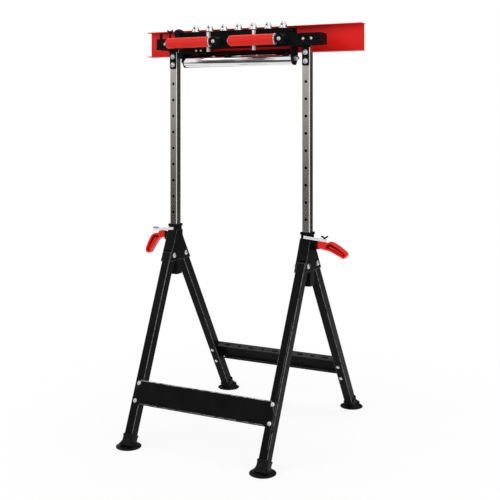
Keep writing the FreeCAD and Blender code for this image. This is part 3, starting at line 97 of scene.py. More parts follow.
class TrestleColours(bpy.types.PropertyGroup):
    """Colours of the finishes."""

    black_paint: tint("Black paint", "Powder coat on sheet and tube", (0.0040, 0.0040, 0.0046))
    red_paint: tint("Red paint", "Powder coat on the back rail", (0.76, 0.014, 0.011))
    red_moulded: tint("Red plastic", "Moulded clamp levers", (0.82, 0.018, 0.011))
    red_sleeve: tint("Red sleeve", "Sleeves on the swinging arms", (0.70, 0.014, 0.008))
    black_moulded: tint("Black plastic", "Feet, knob and tabs", (0.0060, 0.0060, 0.0064))
    zinc: tint("Zinc", "Bolts, rivets, axle, arm rods and clamp screw", (0.70, 0.71, 0.72))
    post_steel: tint("Post steel", "Plated tube of the posts", (0.71, 0.69, 0.665))
    pale_zinc: tint("Pale zinc", "Passivated lock and stop straps", (0.90, 0.90, 0.91))
    polished: tint("Polished steel", "Roller, balls and ball cups", (0.82, 0.82, 0.83))


class TrestleSizes(bpy.types.PropertyGroup):
    """Sizes that only the finish uses."""

    fold_line: span("Fold line", "Rounding of the folds of hoods and legs", 0.95)
    fold_edge: span("Fold edge", "Rounding of the stretchers' folds", 0.715)
    sheet_edge: span("Sheet edge", "Rounding of other sheet edges", 0.5)
    bolt_edge: span("Bolt edge", "Rounding of rivets, straps, axle and roller", 0.3)
    lever_edge: span("Lever edge", "Rounding that each edge of a lever is a share of", 1.4)
    washer_height: span("Washer height", "Thickness of the washers under the bolts", 1.2)
    round_steps: bpy.props.IntProperty(
        name="Round steps", description="Faces round a turned piece", default=56, min=12)


def put_in_scene(name, data):
    """An object of a mesh, lamp or camera, in the scene."""
    item = bpy.data.objects.new(name, data)
    bpy.context.scene.collection.objects.link(item)
    return item


def box_of(name):
    """A node's low corner, middle and high corner, in metres."""
    low, high = (Vector(corner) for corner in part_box(name))
    return low, (low + high) / 2, high


def mesh_of(shape, name):
    """A mesh made from a finished bmesh."""
    mesh = bpy.data.meshes.new(name)
    bmesh.ops.recalc_face_normals(shape, faces=shape.faces)
    shape.to_mesh(mesh)
    shape.free()
    mesh.shade_smooth()
    return mesh


def sharpen(mesh, degrees=CREASE_ANGLE):
    """Keeps edges over an angle sharp."""
    mesh.set_sharp_from_angle(angle=math.radians(degrees))


def join_rings(shape, low, high):
    """Closes the band between two rings, either of which may be a single point."""
    for i in range(max(len(low), len(high))):
        j = i + 1
        corners = (low[i % len(low)], low[j % len(low)], high[j % len(high)], high[i % len(high)])
        shape.faces.new(list(dict.fromkeys(corners)))


def turned(shape, profile, matrix, steps, flutes=0, flute_depth=0.0):
    """Adds a turned solid to a shape: a profile of radius and height in millimetres, spun about Z."""
    rings = []
    for radius, height in profile:
        ring = []
        for i in range(steps if radius > 0 else 1):
            turn = math.tau * i / steps
            reach = (radius - flute_depth * (1 - math.cos(flutes * turn)) / 2) * MM
            point = Vector((reach * math.cos(turn), reach * math.sin(turn), height * MM))
            ring.append(shape.verts.new(matrix @ point))
        rings.append(ring)
    for low, high in zip(rings, rings[1:]):
        join_rings(shape, low, high)
    return shape


def arc(radius, height, bend, start, stop, steps=5):
    """Profile points on a round of a bend radius about a centre, by angles in degrees."""
    angles = [math.radians(start + (stop - start) * i / steps) for i in range(steps + 1)]
    return [(radius + bend * math.cos(turn), height + bend * math.sin(turn)) for turn in angles]


def dome(radius, foot, rise, stop, step):
    """Profile points up a dome from the height of its foot, by angles in degrees."""
    angles = [math.radians(angle) for angle in range(0, stop, step)]
    return [(radius * math.cos(turn), foot + rise * math.sin(turn)) for turn in angles]


def inset(radius, points):
    """Profile points that are given in from a radius and along."""
    return [(radius - depth, height) for depth, height in points]


def at(point, way=(0, 0, 1)):
    """A matrix that moves a turned piece to a point in metres and lays its axis along a direction."""
    turn = Vector((0, 0, 1)).rotation_difference(Vector(way)).to_matrix().to_4x4()
    return Matrix.Translation(point) @ turn


def slab(shape, outline, matrix, depth):
    """Adds a flat solid to a shape, from an outline across and up and a depth in millimetres.

    Returns its two flat faces."""
    rings = []
    for y in (-depth / 2, depth / 2):
        rings.append([shape.verts.new(matrix @ Vector((x * MM, y * MM, z * MM))) for x, z in outline])
    join_rings(shape, *rings)
    return [shape.faces.new(rings[0]), shape.faces.new(rings[1][::-1])]


def edge_modifier(item, width, segments=3):
    """Rounds the sharp edges of a piece with a live modifier."""
    bevel = item.modifiers.new("Edge", "BEVEL")
    bevel.width = width
    bevel.segments = segments
    bevel.limit_method = "ANGLE"
    bevel.angle_limit = math.radians(EDGE_ANGLE)
    bevel.harden_normals = True


def round_node(name, width):
    """Rounds a node's sharp edges with live modifiers. Its mesh stays as it is."""
    item = NODES[name]
    weld = item.modifiers.new("Weld", "WELD")
    weld.merge_threshold = WELD_REACH
    edge_modifier(item, width, segments=2)
    return item


def stand_for(piece, slot_name, body, *nodes, finish=None):
    """Gives a new piece its finish, its body and the nodes that it replaces."""
    wear(piece, finish or slot_name)
    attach(piece, body)
    if nodes:
        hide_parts(*nodes)
    return piece


def add_piece(name, shape, slot_name, body, *nodes, crease=None, edge=None, segments=3):
    """Makes a piece of a finished bmesh, with creases over an angle or with live rounded edges."""
    piece = put_in_scene(name, mesh_of(shape, name))
    if crease:
        sharpen(piece.data, crease)
    if edge:
        edge_modifier(piece, edge, segments)
    stand_for(piece, slot_name, body, *nodes)


# Node trees

FLOAT = "NodeSocketFloat"
COLOUR = "NodeSocketColor"
VECTOR = "NodeSocketVector"
GEOMETRY = "NodeSocketGeometry"


def feed(tree, node, inputs):
    """Gives a node's inputs their values, each a plain one or another node's socket."""
    for key, value in inputs.items():
        if isinstance(value, bpy.types.NodeSocket):
            tree.links.new(value, node.inputs[key])
        else:
            node.inputs[key].default_value = value


def add_node(tree, kind, inputs=None, **settings):
    """A shader node, by the end of its type's name, with its settings and its inputs."""
    node = tree.nodes.new("ShaderNode" + kind)
    for key, value in settings.items():
        setattr(node, key, value)
    feed(tree, node, inputs or {})
    return node


def new_group(name, inputs, outputs, kind="ShaderNodeTree"):
    """A node group with named sockets, and its input and output nodes."""
    tree = bpy.data.node_groups.new(name, kind)
    for way, sockets in (("INPUT", inputs), ("OUTPUT", outputs)):
        for label, socket_type in sockets.items():
            tree.interface.new_socket(name=label, in_out=way, socket_type=socket_type)
    return tree, tree.nodes.new("NodeGroupInput"), tree.nodes.new("NodeGroupOutput")


def row_tree():
    """Geometry nodes: a row of copies of the piece, made real and given its material."""
    tree, start, end = new_group(
        "Row",
        {"Geometry": GEOMETRY, "Count": "NodeSocketInt", "Start": VECTOR, "Step": VECTOR,
         "Material": "NodeSocketMaterial"},
        {"Geometry": GEOMETRY}, kind="GeometryNodeTree")
    line = tree.nodes.new("GeometryNodeMeshLine")
    copies = tree.nodes.new("GeometryNodeInstanceOnPoints")
    real = tree.nodes.new("GeometryNodeRealizeInstances")
    finish = tree.nodes.new("GeometryNodeSetMaterial")
    links = (
        (start, "Count", line, "Count"), (start, "Start", line, "Start Location"),
        (start, "Step", line, "Offset"), (line, "Mesh", copies, "Points"),
        (start, "Geometry", copies, "Instance"), (copies, "Instances", real, "Geometry"),
        (real, "Geometry", finish, "Geometry"), (start, "Material", finish, "Material"),
        (finish, "Geometry", end, "Geometry"),
    )
    for first, output, second, field in links:
        tree.links.new(first.outputs[output], second.inputs[field])
    return tree


def rows_of(name, pieces, finish):
    """One plain mesh object of several rows: each is a bmesh, a count, a first place and a step."""
    tree = bpy.data.node_groups.get("Row") or row_tree()
    keys = {item.name: item.identifier for item in tree.interface.items_tree if item.in_out == "INPUT"}
    whole = bmesh.new()
    for shape, count, first, step in pieces:
        item = put_in_scene(name + "Row", mesh_of(shape, name + "Row"))
        modifier = item.modifiers.new("Row", "NODES")
        modifier.node_group = tree
        modifier[keys["Count"]] = count
        modifier[keys["Start"]] = tuple(first)
        modifier[keys["Step"]] = tuple(step)
        modifier[keys["Material"]] = MATERIALS[finish]
        graph = bpy.context.evaluated_depsgraph_get()
        made = bpy.data.meshes.new_from_object(item.evaluated_get(graph))
        item.modifiers.remove(modifier)
        whole.from_mesh(made)
        bpy.data.objects.remove(item)
    mesh = bpy.data.meshes.new(name)
    whole.to_mesh(mesh)
    whole.free()
    mesh.shade_smooth()
    sharpen(mesh)
    return put_in_scene(name, mesh)


NOISE_ROUGHNESS = 0.55
# Where a colour mix has its factor and two colours among its inputs, and its result.
MIX_INPUTS = (0, 6, 7)
MIX_RESULT = 2


def noise(tree, vector, scale, detail=3.0):
    """A noise texture on a vector."""
    inputs = {"Vector": vector, "Scale": scale, "Detail": detail, "Roughness": NOISE_ROUGHNESS}
    return add_node(tree, "TexNoise", inputs).outputs["Fac"]


def map_range(tree, value, low, high, to_low=0.0, to_high=1.0):
    """Stretches a value to another range."""
    labels = ("Value", "From Min", "From Max", "To Min", "To Max")
    inputs = dict(zip(labels, (value, low, high, to_low, to_high)))
    return add_node(tree, "MapRange", inputs).outputs["Result"]


def math_node(tree, operation, *values):
    """A math node on one or two values."""
    return add_node(tree, "Math", dict(enumerate(values)), operation=operation).outputs[0]


def off_by(tree, value, middle):
    """How far a value is from another, either way."""
    return math_node(tree, "ABSOLUTE", math_node(tree, "SUBTRACT", value, middle))


def mix_colour(tree, share, first, second):
    """A mix of two colours."""
    inputs = dict(zip(MIX_INPUTS, (share, first, second)))
    return add_node(tree, "Mix", inputs, data_type="RGBA").outputs[MIX_RESULT]


def object_vector(tree, scale=(1, 1, 1)):
    """Object coordinates, stretched."""
    place = add_node(tree, "TexCoord").outputs["Object"]
    return add_node(tree, "Mapping", {"Vector": place, "Scale": scale}).outputs["Vector"]


def split_xyz(tree, vector):
    """A vector's three numbers, by their letters."""
    return add_node(tree, "SeparateXYZ", {0: vector}).outputs


# Where each mask or share starts and where it is full, by the value that it is read from.
CLOUD_RANGE = (0.35, 0.7)
GLOSS_RANGE = (0.3, 0.7)
RUB_HIGHLIGHT_RANGE = (0.985, 0.9)
RUB_HIGHLIGHT_BREAK_RANGE = (0.42, 0.62)
GRAIN_RANGE = (0.8, 1.25)
# The same for the masks of facing, each with that of the noise that breaks it up. The last noise also
# has its own least and most.
CORNER_RANGES = ((0.24, 0.1), (0.3, 0.55))
RIDGE_RANGES = ((0.2, 0.16), (0.35, 0.55))
TOP_RANGES = ((0.62, 0.84), (0.2, 0.7, 0.7, 1.0))
# How far the middle of a top fold faces up, and the middle of a corner to its side.
RIDGE_LEAN = 0.66
CORNER_LEAN = math.sqrt(0.5)


def coat_skin_group():
    """Powder coat: a fine uneven skin, a little cloudy in colour and in gloss."""
    tree, start, end = new_group(
        "Coat Skin",
        {"Vector": VECTOR, "Colour": COLOUR, "Cloud": COLOUR, "Skin Scale": FLOAT, "Gloss Low": FLOAT,
         "Gloss High": FLOAT},
        {"Colour": COLOUR, "Roughness": FLOAT, "Height": FLOAT})
    given = start.outputs
    vector = given["Vector"]
    cloud = map_range(tree, noise(tree, vector, scale=14.0, detail=4.0), *CLOUD_RANGE)
    smear = noise(tree, vector, scale=45.0)
    feed(tree, end, {
        "Colour": mix_colour(tree, cloud, given["Colour"], given["Cloud"]),
        "Roughness": map_range(tree, smear, *GLOSS_RANGE, given["Gloss Low"], given["Gloss High"]),
        "Height": noise(tree, vector, given["Skin Scale"], detail=2.0),
    })
    return tree


def edge_rub_highlight_group():
    """A mask of lighter edges, partly rubbed wear and partly painted highlight: where a rounded normal
    leaves the true one, broken up by noise.
    """
    tree, start, end = new_group(
        "Edge Rub", {"Vector": VECTOR, "Radius": FLOAT, "Break Scale": FLOAT}, {"Mask": FLOAT})
    soft = add_node(tree, "Bevel", {"Radius": start.outputs["Radius"]}, samples=4)
    true_normal = add_node(tree, "NewGeometry").outputs["Normal"]
    normals = {0: soft.outputs["Normal"], 1: true_normal}
    dot = add_node(tree, "VectorMath", normals, operation="DOT_PRODUCT")
    rim = map_range(tree, dot.outputs["Value"], *RUB_HIGHLIGHT_RANGE)
    broken = noise(tree, start.outputs["Vector"], start.outputs["Break Scale"], detail=5.0)
    mask = math_node(tree, "MULTIPLY", rim, map_range(tree, broken, *RUB_HIGHLIGHT_BREAK_RANGE))
    feed(tree, end, {"Mask": mask})
    return tree


def drawn_grain_group():
    """Drawn or brushed metal: fine lines along a tube, with a slow cloudiness."""
    tree, start, end = new_group(
        "Drawn Grain",
        {"Lines": VECTOR, "Vector": VECTOR, "Colour": COLOUR, "Shade": COLOUR, "Gloss Low": FLOAT,
         "Gloss High": FLOAT},
        {"Colour": COLOUR, "Roughness": FLOAT, "Height": FLOAT})
    given = start.outputs
    lines = noise(tree, given["Lines"], scale=900.0, detail=2.0)
    cloud = noise(tree, given["Vector"], scale=22.0, detail=4.0)
    share = map_range(tree, math_node(tree, "ADD", lines, cloud), *GRAIN_RANGE)
    feed(tree, end, {
        "Colour": mix_colour(tree, share, given["Colour"], given["Shade"]),
        "Roughness": map_range(tree, lines, *GLOSS_RANGE, given["Gloss Low"], given["Gloss High"]),
        "Height": lines,
    })
    return tree


def facing_group():
    """Masks for painted light, from the way that a softened surface faces: highlights on side corners,
    light on tops and highlights on top folds.
    """
    tree, start, end = new_group(
        "Facing", {"Radius": FLOAT, "Break Scale": FLOAT},
        {"Corner": FLOAT, "Top": FLOAT, "Ridge": FLOAT})
    soft = add_node(tree, "Bevel", {"Radius": start.outputs["Radius"]}, samples=6)
    turn = add_node(tree, "VectorTransform", {"Vector": soft.outputs["Normal"]},
                    vector_type="NORMAL", convert_from="WORLD", convert_to="OBJECT")
    facing = split_xyz(tree, turn.outputs["Vector"])
    place = add_node(tree, "TexCoord").outputs["Object"]
    broken = noise(tree, place, start.outputs["Break Scale"], detail=4.0)
    side = math_node(tree, "ABSOLUTE", facing["X"])
    masks = {
        "Corner": (off_by(tree, side, CORNER_LEAN), CORNER_RANGES),
        "Top": (facing["Z"], TOP_RANGES),
        "Ridge": (off_by(tree, facing["Z"], RIDGE_LEAN), RIDGE_RANGES),
    }
    for label, (value, (reach, gaps)) in masks.items():
        whole = map_range(tree, value, *reach)
        feed(tree, end, {label: math_node(tree, "MULTIPLY", whole, map_range(tree, broken, *gaps))})
    return tree


GROUP_MAKERS = {
    "Coat Skin": coat_skin_group, "Edge Rub": edge_rub_highlight_group, "Drawn Grain": drawn_grain_group,
    "Facing": facing_group,
}
GROUPS = {}


def group_node(tree, name, **values):
    """Places a shader group in a material, with its inputs."""
    if name not in GROUPS:
        GROUPS[name] = GROUP_MAKERS[name]()
    inputs = {label.replace("_", " ").title(): value for label, value in values.items()}
    return add_node(tree, "Group", inputs, node_tree=GROUPS[name])


def new_material(name):
    """A material with a bare Principled BSDF."""
    material = bpy.data.materials.new(name)
    material.use_nodes = True
    tree = material.node_tree
    return material, tree, tree.nodes["Principled BSDF"]


def bumps(tree, height, strength, distance):
    """The normal of a surface with a height on it."""
    inputs = {"Height": height, "Strength": strength, "Distance": distance}
    return add_node(tree, "Bump", inputs).outputs["Normal"]


def rgba(colour, factor=1.0):
    """A colour with its alpha, made lighter or darker."""
    return (*(min(1.0, channel * factor) for channel in colour), 1.0)


RUB_HIGHLIGHT_RADIUS = 1.2 * MM
RUB_HIGHLIGHT_SCALE = 160.0
FACING_SCALE = 90.0
COAT_BUMP_HEIGHT = 0.2 * MM
METAL_BUMP_HEIGHT = 0.1 * MM


def coat_material(name, colour, cloud, gloss, skin_scale, bump, sheen, rub=None, corner=None, painted_top_light=None,
                  ridge=None, pocket=None, fold=0.0):
    """Powder coat or moulded plastic, if asked with rubbed edges that are partly painted highlight,
    painted highlights on corners and top folds, painted light on tops and painted shade in pockets.

    Cloud is how much lighter or darker its clouds are, and fold softens the normals that masks read."""
    material, tree, shader = new_material(name)
    vector = object_vector(tree)
    skin = group_node(tree, "Coat Skin", vector=vector, colour=rgba(colour), cloud=rgba(colour, cloud),
                      skin_scale=skin_scale, gloss_low=gloss[0], gloss_high=gloss[1])
    surface_colour = skin.outputs["Colour"]
    # Lighter edges: partly rubbed wear, partly painted highlight.
    if rub:
        edges = group_node(tree, "Edge Rub", vector=vector, radius=RUB_HIGHLIGHT_RADIUS, break_scale=RUB_HIGHLIGHT_SCALE)
        surface_colour = mix_colour(tree, edges.outputs["Mask"], surface_colour, rub)
    # A dark colour on the pocket floors: painted shade in the recess.
    if pocket:
        shaded_pocket = add_node(tree, "Attribute", attribute_name="pocket")
        surface_colour = mix_colour(tree, shaded_pocket.outputs["Fac"], surface_colour, pocket)
    facing = group_node(tree, "Facing", radius=fold, break_scale=FACING_SCALE)
    # Painted light on tops and painted highlights on corners and top folds.
    for mask, painted_light in (("Top", painted_top_light), ("Corner", corner), ("Ridge", ridge)):
        if painted_light:
            surface_colour = mix_colour(tree, facing.outputs[mask], surface_colour, painted_light)
    feed(tree, shader, {
        "Base Color": surface_colour, "Roughness": skin.outputs["Roughness"], "Specular IOR Level": sheen,
        "Normal": bumps(tree, skin.outputs["Height"], bump, COAT_BUMP_HEIGHT),
    })
    return material


POST_SKIN = 1 * MM
# Near black inside the post tubes: painted shade.
INSIDE_SHADE_COLOUR = (0.004, 0.004, 0.004, 1)


def inside_shade_mask(tree):
    """1 inside the tubes of the two posts, where painted shade goes, 0 on their outer faces."""
    low, middle, high = box_of("right_post")
    place = split_xyz(tree, object_vector(tree))
    x = off_by(tree, math_node(tree, "ABSOLUTE", place["X"]), middle.x)
    reach = math_node(tree, "MAXIMUM", x, off_by(tree, place["Y"], middle.y))
    return math_node(tree, "LESS_THAN", reach, (high.x - low.x) / 2 - POST_SKIN)


def metal_material(name, colour, shade, gloss, lines, metallic=1.0, bump=0.05, tube=False):
    """Plated or drawn steel. Lines is how its grain is stretched, and a tube gets painted shade inside.
    """
    material, tree, shader = new_material(name)
    grain = group_node(
        tree, "Drawn Grain", lines=object_vector(tree, lines), vector=object_vector(tree),
        colour=rgba(colour), shade=rgba(colour, shade), gloss_low=gloss[0], gloss_high=gloss[1])
    plate = grain.outputs["Colour"]
    # Painted shade inside the tube.
    if tube:
        plate = mix_colour(tree, inside_shade_mask(tree), plate, INSIDE_SHADE_COLOUR)
    feed(tree, shader, {
        "Base Color": plate, "Roughness": grain.outputs["Roughness"], "Metallic": metallic,
        "Normal": bumps(tree, grain.outputs["Height"], bump, METAL_BUMP_HEIGHT),
    })
    return material


BLACK_COAT = {
    "cloud": 1.7, "gloss": (0.30, 0.42), "skin_scale": 1100.0, "bump": 0.08, "sheen": 0.03,
    # A paler colour on faces that look up: painted light from above.
    "painted_top_light": (0.045, 0.045, 0.048, 1),
}

# Each finish with its label, its colour among the settings and its look. A finish that isn't one of the
# record's slots is worn by pieces of a slot that look different.
COATS = {
    "black_steel": ("Black powder coat", "black_paint", {**BLACK_COAT, "rub": (0.06, 0.06, 0.065, 1)}),
    # The corner colour on tubes is a painted highlight along their side corners.
    "black_tube": ("Black powder coat on tube", "black_paint", {
        **BLACK_COAT, "rub": (0.04, 0.04, 0.042, 1), "corner": (0.18, 0.18, 0.185, 1)}),
    # The corner colour on hoods is a painted highlight along their side corners.
    "black_hood": ("Black powder coat on hoods", "black_paint", {
        **BLACK_COAT, "corner": (0.30, 0.30, 0.305, 1), "fold": 2.2 * MM}),
    # The ridge colour is a painted highlight along the top fold of the front stretcher.
    "black_fold": ("Black powder coat on folded sheet", "black_paint", {
        **BLACK_COAT, "rub": (0.06, 0.06, 0.065, 1), "ridge": (0.75, 0.75, 0.76, 1), "fold": 4 * MM}),
    "red_paint": ("Red powder coat", "red_paint", {
        "cloud": 0.84, "gloss": (0.26, 0.40), "skin_scale": 1000.0, "bump": 0.05, "sheen": 0.12,
        "rub": (0.78, 0.05, 0.04, 1)}),
    # The pocket colour is painted shade on the floors of the levers' pockets.
    "red_plastic": ("Red plastic", "red_moulded", {
        "cloud": 1.1, "gloss": (0.18, 0.26), "skin_scale": 500.0, "bump": 0.02, "sheen": 0.20,
        "pocket": (0.14, 0.002, 0.002, 1)}),
    "red_rubber": ("Red sleeve", "red_sleeve", {
        "cloud": 0.88, "gloss": (0.34, 0.48), "skin_scale": 1500.0, "bump": 0.08, "sheen": 0.16}),
    "black_plastic": ("Black plastic", "black_moulded", {
        "cloud": 1.8, "gloss": (0.36, 0.52), "skin_scale": 1600.0, "bump": 0.12, "sheen": 0.06}),
}
METALS = {
    "zinc_steel": ("Bright zinc", "zinc", {
        "shade": 0.86, "gloss": (0.22, 0.36), "lines": (1, 1, 0.08), "metallic": 0.8}),
    "post_steel": ("Post steel", "post_steel", {
        "shade": 0.88, "gloss": (0.17, 0.23), "lines": (1, 1, 0.03), "bump": 0.0, "tube": True}),
    "pale_zinc": ("Pale zinc", "pale_zinc", {
        "shade": 0.9, "gloss": (0.34, 0.48), "lines": (1, 1, 0.08), "metallic": 0.35}),
    "cup_chrome": ("Cup chrome", "polished", {
        "shade": 0.9, "gloss": (0.06, 0.12), "lines": (1, 1, 0.2), "bump": 0.01}),
    "polished_steel": ("Polished steel", "polished", {
        "shade": 0.93, "gloss": (0.03, 0.07), "lines": (0.03, 1, 1)}),
}
MATERIALS = {}


def make_materials(colours):
    """Makes all finishes from the two tables."""
    for make, table in ((coat_material, COATS), (metal_material, METALS)):
        for finish, (label, colour, look) in table.items():
            MATERIALS[finish] = make(label, getattr(colours, colour), **look)


def wear(item, finish):
    """Gives an object a finish in every material slot that it has."""
    material = MATERIALS[finish]
    if not item.data.materials:
        item.data.materials.append(material)
    for slot in item.material_slots:
        slot.material = material


def coat_of(name):
    """The black finish of a sheet node: tubes and hoods get a painted highlight along their corners."""
    if name.endswith("_leg"):
        return "black_tube"
    if name.endswith("_hood_bracket"):
        return "black_hood"
    return "black_steel"


class TRESTLE_OT_sheet_metal(bpy.types.Operator):
    """Coats the folded and welded black sheet, the red back rail and two small mouldings"""

    bl_idname = "trestle.sheet_metal"
    bl_label = "Coat sheet metal"

    def execute(self, context):
        sizes = context.scene.trestle_sizes
        for name in BLACK_SHEET:
            finish = coat_of(name)
            width = sizes.sheet_edge if finish == "black_steel" else sizes.fold_line
            wear(round_node(name, width), finish)
        for end, finish in (("front", "black_fold"), ("rear", "black_steel")):
            wear(round_node(f"{end}_stretcher", sizes.fold_edge), finish)
        wear(round_node("back_rail", sizes.sheet_edge), "red_paint")
        for name in BLACK_MOULDED:
            wear(NODES[name], "black_plastic")
        return {"FINISHED"}


class TRESTLE_OT_bright_parts(bpy.types.Operator):
    """Plates the posts, straps, rivets, axle, roller and balls"""

    bl_idname = "trestle.bright_parts"
    bl_label = "Plate bright parts"

    def execute(self, context):
        edge = context.scene.trestle_sizes.bolt_edge
        for name in BRIGHT_ZINC:
            wear(round_node(name, edge), "pale_zinc" if "strap" in name else "zinc_steel")
        for side in SIDES:
            wear(NODES[f"{side}_post"], "post_steel")
        wear(round_node("roller", edge), "polished_steel")
        for name in BALLS:
            wear(NODES[name], "polished_steel")
        return {"FINISHED"}


# An acorn-shaped cup, in millimetres out and up: a flange, a smooth dome and a thin lip.
CUP_PROFILE = [
    (0, 0), *arc(12.0, 0.5, 0.5, -90, 0, 2), *arc(12.0, 1.5, 0.5, 0, 90, 2), (11.4, 2.2),
    *dome(11.2, 3.0, 18.6, 53, 4), (6.7, 18.0), (6.35, 17.8), (6.3, 15.0), (6.3, 11.0), (0, 10.6),
]


class TRESTLE_OT_ball_cups(bpy.types.Operator):
    """Turns the row of ball cups on the rail"""

    bl_idname = "trestle.ball_cups"
    bl_label = "Turn ball cups"

    def execute(self, context):
        floor = box_of("ball_cups")[0].z
        start, stop = (box_of(name)[1] for name in (BALLS[0], BALLS[-1]))
        first = Vector((start.x, start.y, floor))
        step = (stop - start) / (len(BALLS) - 1)
        shape = turned(bmesh.new(), CUP_PROFILE, Matrix(), context.scene.trestle_sizes.round_steps)
        item = rows_of("ball_cup_row", [(shape, len(BALLS), first, step)], "zinc_steel")
        stand_for(item, "zinc_steel", BODY_OF["ball_cups"], "ball_cups", finish="cup_chrome")
        return {"FINISHED"}


# A bolt, in diameters of its shank: its head, out and up from the washer, its tip, out and past what it
# holds, how far in from its node's end its washer lies, and its nut. The chamfer is in millimetres.
BOLT_HEAD = [
    (0, 0), (0.875, 0), *dome(0.875, 0.12, 0.356, 75, 12), (0.30, 0.4848), (0.30, 0.234), (0, 0.196),
]
BOLT_TIP = [(0.5, 0.9), (0.42, 1), (0, 1)]
BOLT_SEAT = 0.5
WASHER_RADIUS = 0.98
NUT_RADIUS = 0.95
NUT_FACE_RADIUS = 0.893
NUT_HEIGHT = 0.7
NUT_CHAMFER = 0.6
NUT_SIDES = 6


def bolt_shape(diameter, grip, washer, steps, axis):
    """A dome-headed bolt with a washer and a nut, in millimetres. Its washer lies on the origin."""
    shape = bmesh.new()
    lay = at((0, 0, 0), axis)
    flip = lay @ Matrix.Rotation(math.pi, 4, "X")
    turned(shape, [(r * diameter, z * diameter + washer) for r, z in BOLT_HEAD], flip, steps)
    rim = WASHER_RADIUS * diameter
    turned(shape, [(0, 0), (rim, 0), (rim, washer), (0, washer)], flip, steps)
    tip = [(r * diameter, grip + z * diameter) for r, z in BOLT_TIP]
    turned(shape, [(0, 0), (diameter / 2, 0), *tip], lay, steps)
    wide = NUT_RADIUS * diameter
    face = NUT_FACE_RADIUS * diameter
    top = grip + NUT_HEIGHT * diameter
    nut = [(0, grip), (face, grip), (wide, grip + NUT_CHAMFER), (wide, top - NUT_CHAMFER), (face, top),
           (0, top)]
    return turned(shape, nut, lay, NUT_SIDES)


def loose_solids(name):
    """The points of each loose solid of a node."""
    shape = bmesh.new()
    shape.from_mesh(NODES[name].data)
    bmesh.ops.remove_doubles(shape, verts=shape.verts, dist=DOUBLES_REACH)
    left = set(shape.verts)
    solids = []
    for seed in shape.verts:
        if seed not in left:
            continue
        left.remove(seed)
        stack = [seed]
        found = []
        while stack:
            vert = stack.pop()
            found.append(vert.co.copy())
            for edge in vert.link_edges:
                other = edge.other_vert(vert)
                if other in left:
                    left.remove(other)
                    stack.append(other)
        solids.append(found)
    shape.free()
    return solids


def heads(name, axis, way):
    """Where each bolt of a node starts, on its head's side, and how long it is, in metres."""
    places = []
    for found in loose_solids(name):
        along = [point.dot(axis) for point in found]
        tip = min(along) if way > 0 else max(along)
        middle = sum(found, Vector()) / len(found)
        places.append((middle + axis * (tip - middle.dot(axis)), max(along) - min(along)))
    return places


# How far above the middle of its disc on the floor a leg's middle line ends, in millimetres.
FOOT_AXIS = 3


def foot_centre(end, side):
    """The middle of a foot's disc on the floor. The disc is the widest thing in its node's box."""
    low, middle, high = box_of(f"{end}_{side}_foot")
    radius = (high.x - low.x) / 2
    y = low.y + radius if end == "front" else high.y - radius
    return Vector((middle.x, y, 0))


def leg_face(end):
    """The way out of a leg frame's face, towards +Y."""
    pivot = Vector(JOINTS[f"{end}_leg_fold"]["pos_m"])
    foot = foot_centre(end, "right")
    down = Vector((0, foot.y - pivot.y, FOOT_AXIS * MM - pivot.z)).normalized()
    return Vector((0, -down.z, down.y))


def bolt_groups():
    """Each bolt node with its shank's diameter, its axis, and 1 where heads are at the low end."""
    groups = [
        ("leg_pivot_bolts", 8, Vector((1, 0, 0)), -1),
        ("post_strap_bolts", 8, Vector((0, 1, 0)), 1),
        ("arm_pivot_bolts", 6, Vector((0, 1, 0)), 1),
    ]
    for end, way in ENDS.items():
        groups.append((f"{end}_stretcher_bolts", 6, leg_face(end), -way))
    return groups


class TRESTLE_OT_bolts(bpy.types.Operator):
    """Sets dome-headed bolts with washers where the frame has its bolts"""

    bl_idname = "trestle.bolts"
    bl_label = "Set bolts"

    def execute(self, context):
        sizes = context.scene.trestle_sizes
        steps = sizes.round_steps // 2
        washer = sizes.washer_height / MM
        for name, diameter, axis, way in bolt_groups():
            seat = BOLT_SEAT * diameter
            pieces = []
            for place, length in heads(name, axis, way):
                grip = length / MM - seat - NUT_HEIGHT * diameter
                shape = bolt_shape(diameter, grip, washer, steps, axis * way)
                pieces.append((shape, 1, place + axis * way * seat * MM, (0, 0, 0)))
            item = rows_of(f"{name}_set", pieces, "zinc_steel")
            stand_for(item, "zinc_steel", BODY_OF[name], name)
        return {"FINISHED"}


# The arms, in millimetres. The eye is in from its outside and along its axis. The cup lies on the
# sleeve's near end, its rim in from the sleeve's outside, and the tip lies on the far end.
ARM_EYE = [(2.9, -8), (0.5, -8), (0, -7.5), (0, 7.5), (0.5, 8), (2.9, 8), (2.9, -8)]
ARM_CUP_HUB = [(0, -3.2), (6, -3.2), (7, -2.4)]
ARM_CUP_RIM = [(1, -2.4), (0, -1.6), (0, -0.1)]
ARM_ROD_START = (4.9, -0.1)
ARM_TIP = [(4.9, 0.1), (7.2, 0.1), (8, 0.8), (7.8, 2), *arc(0, -3.2, 8.1, 35, 85)]


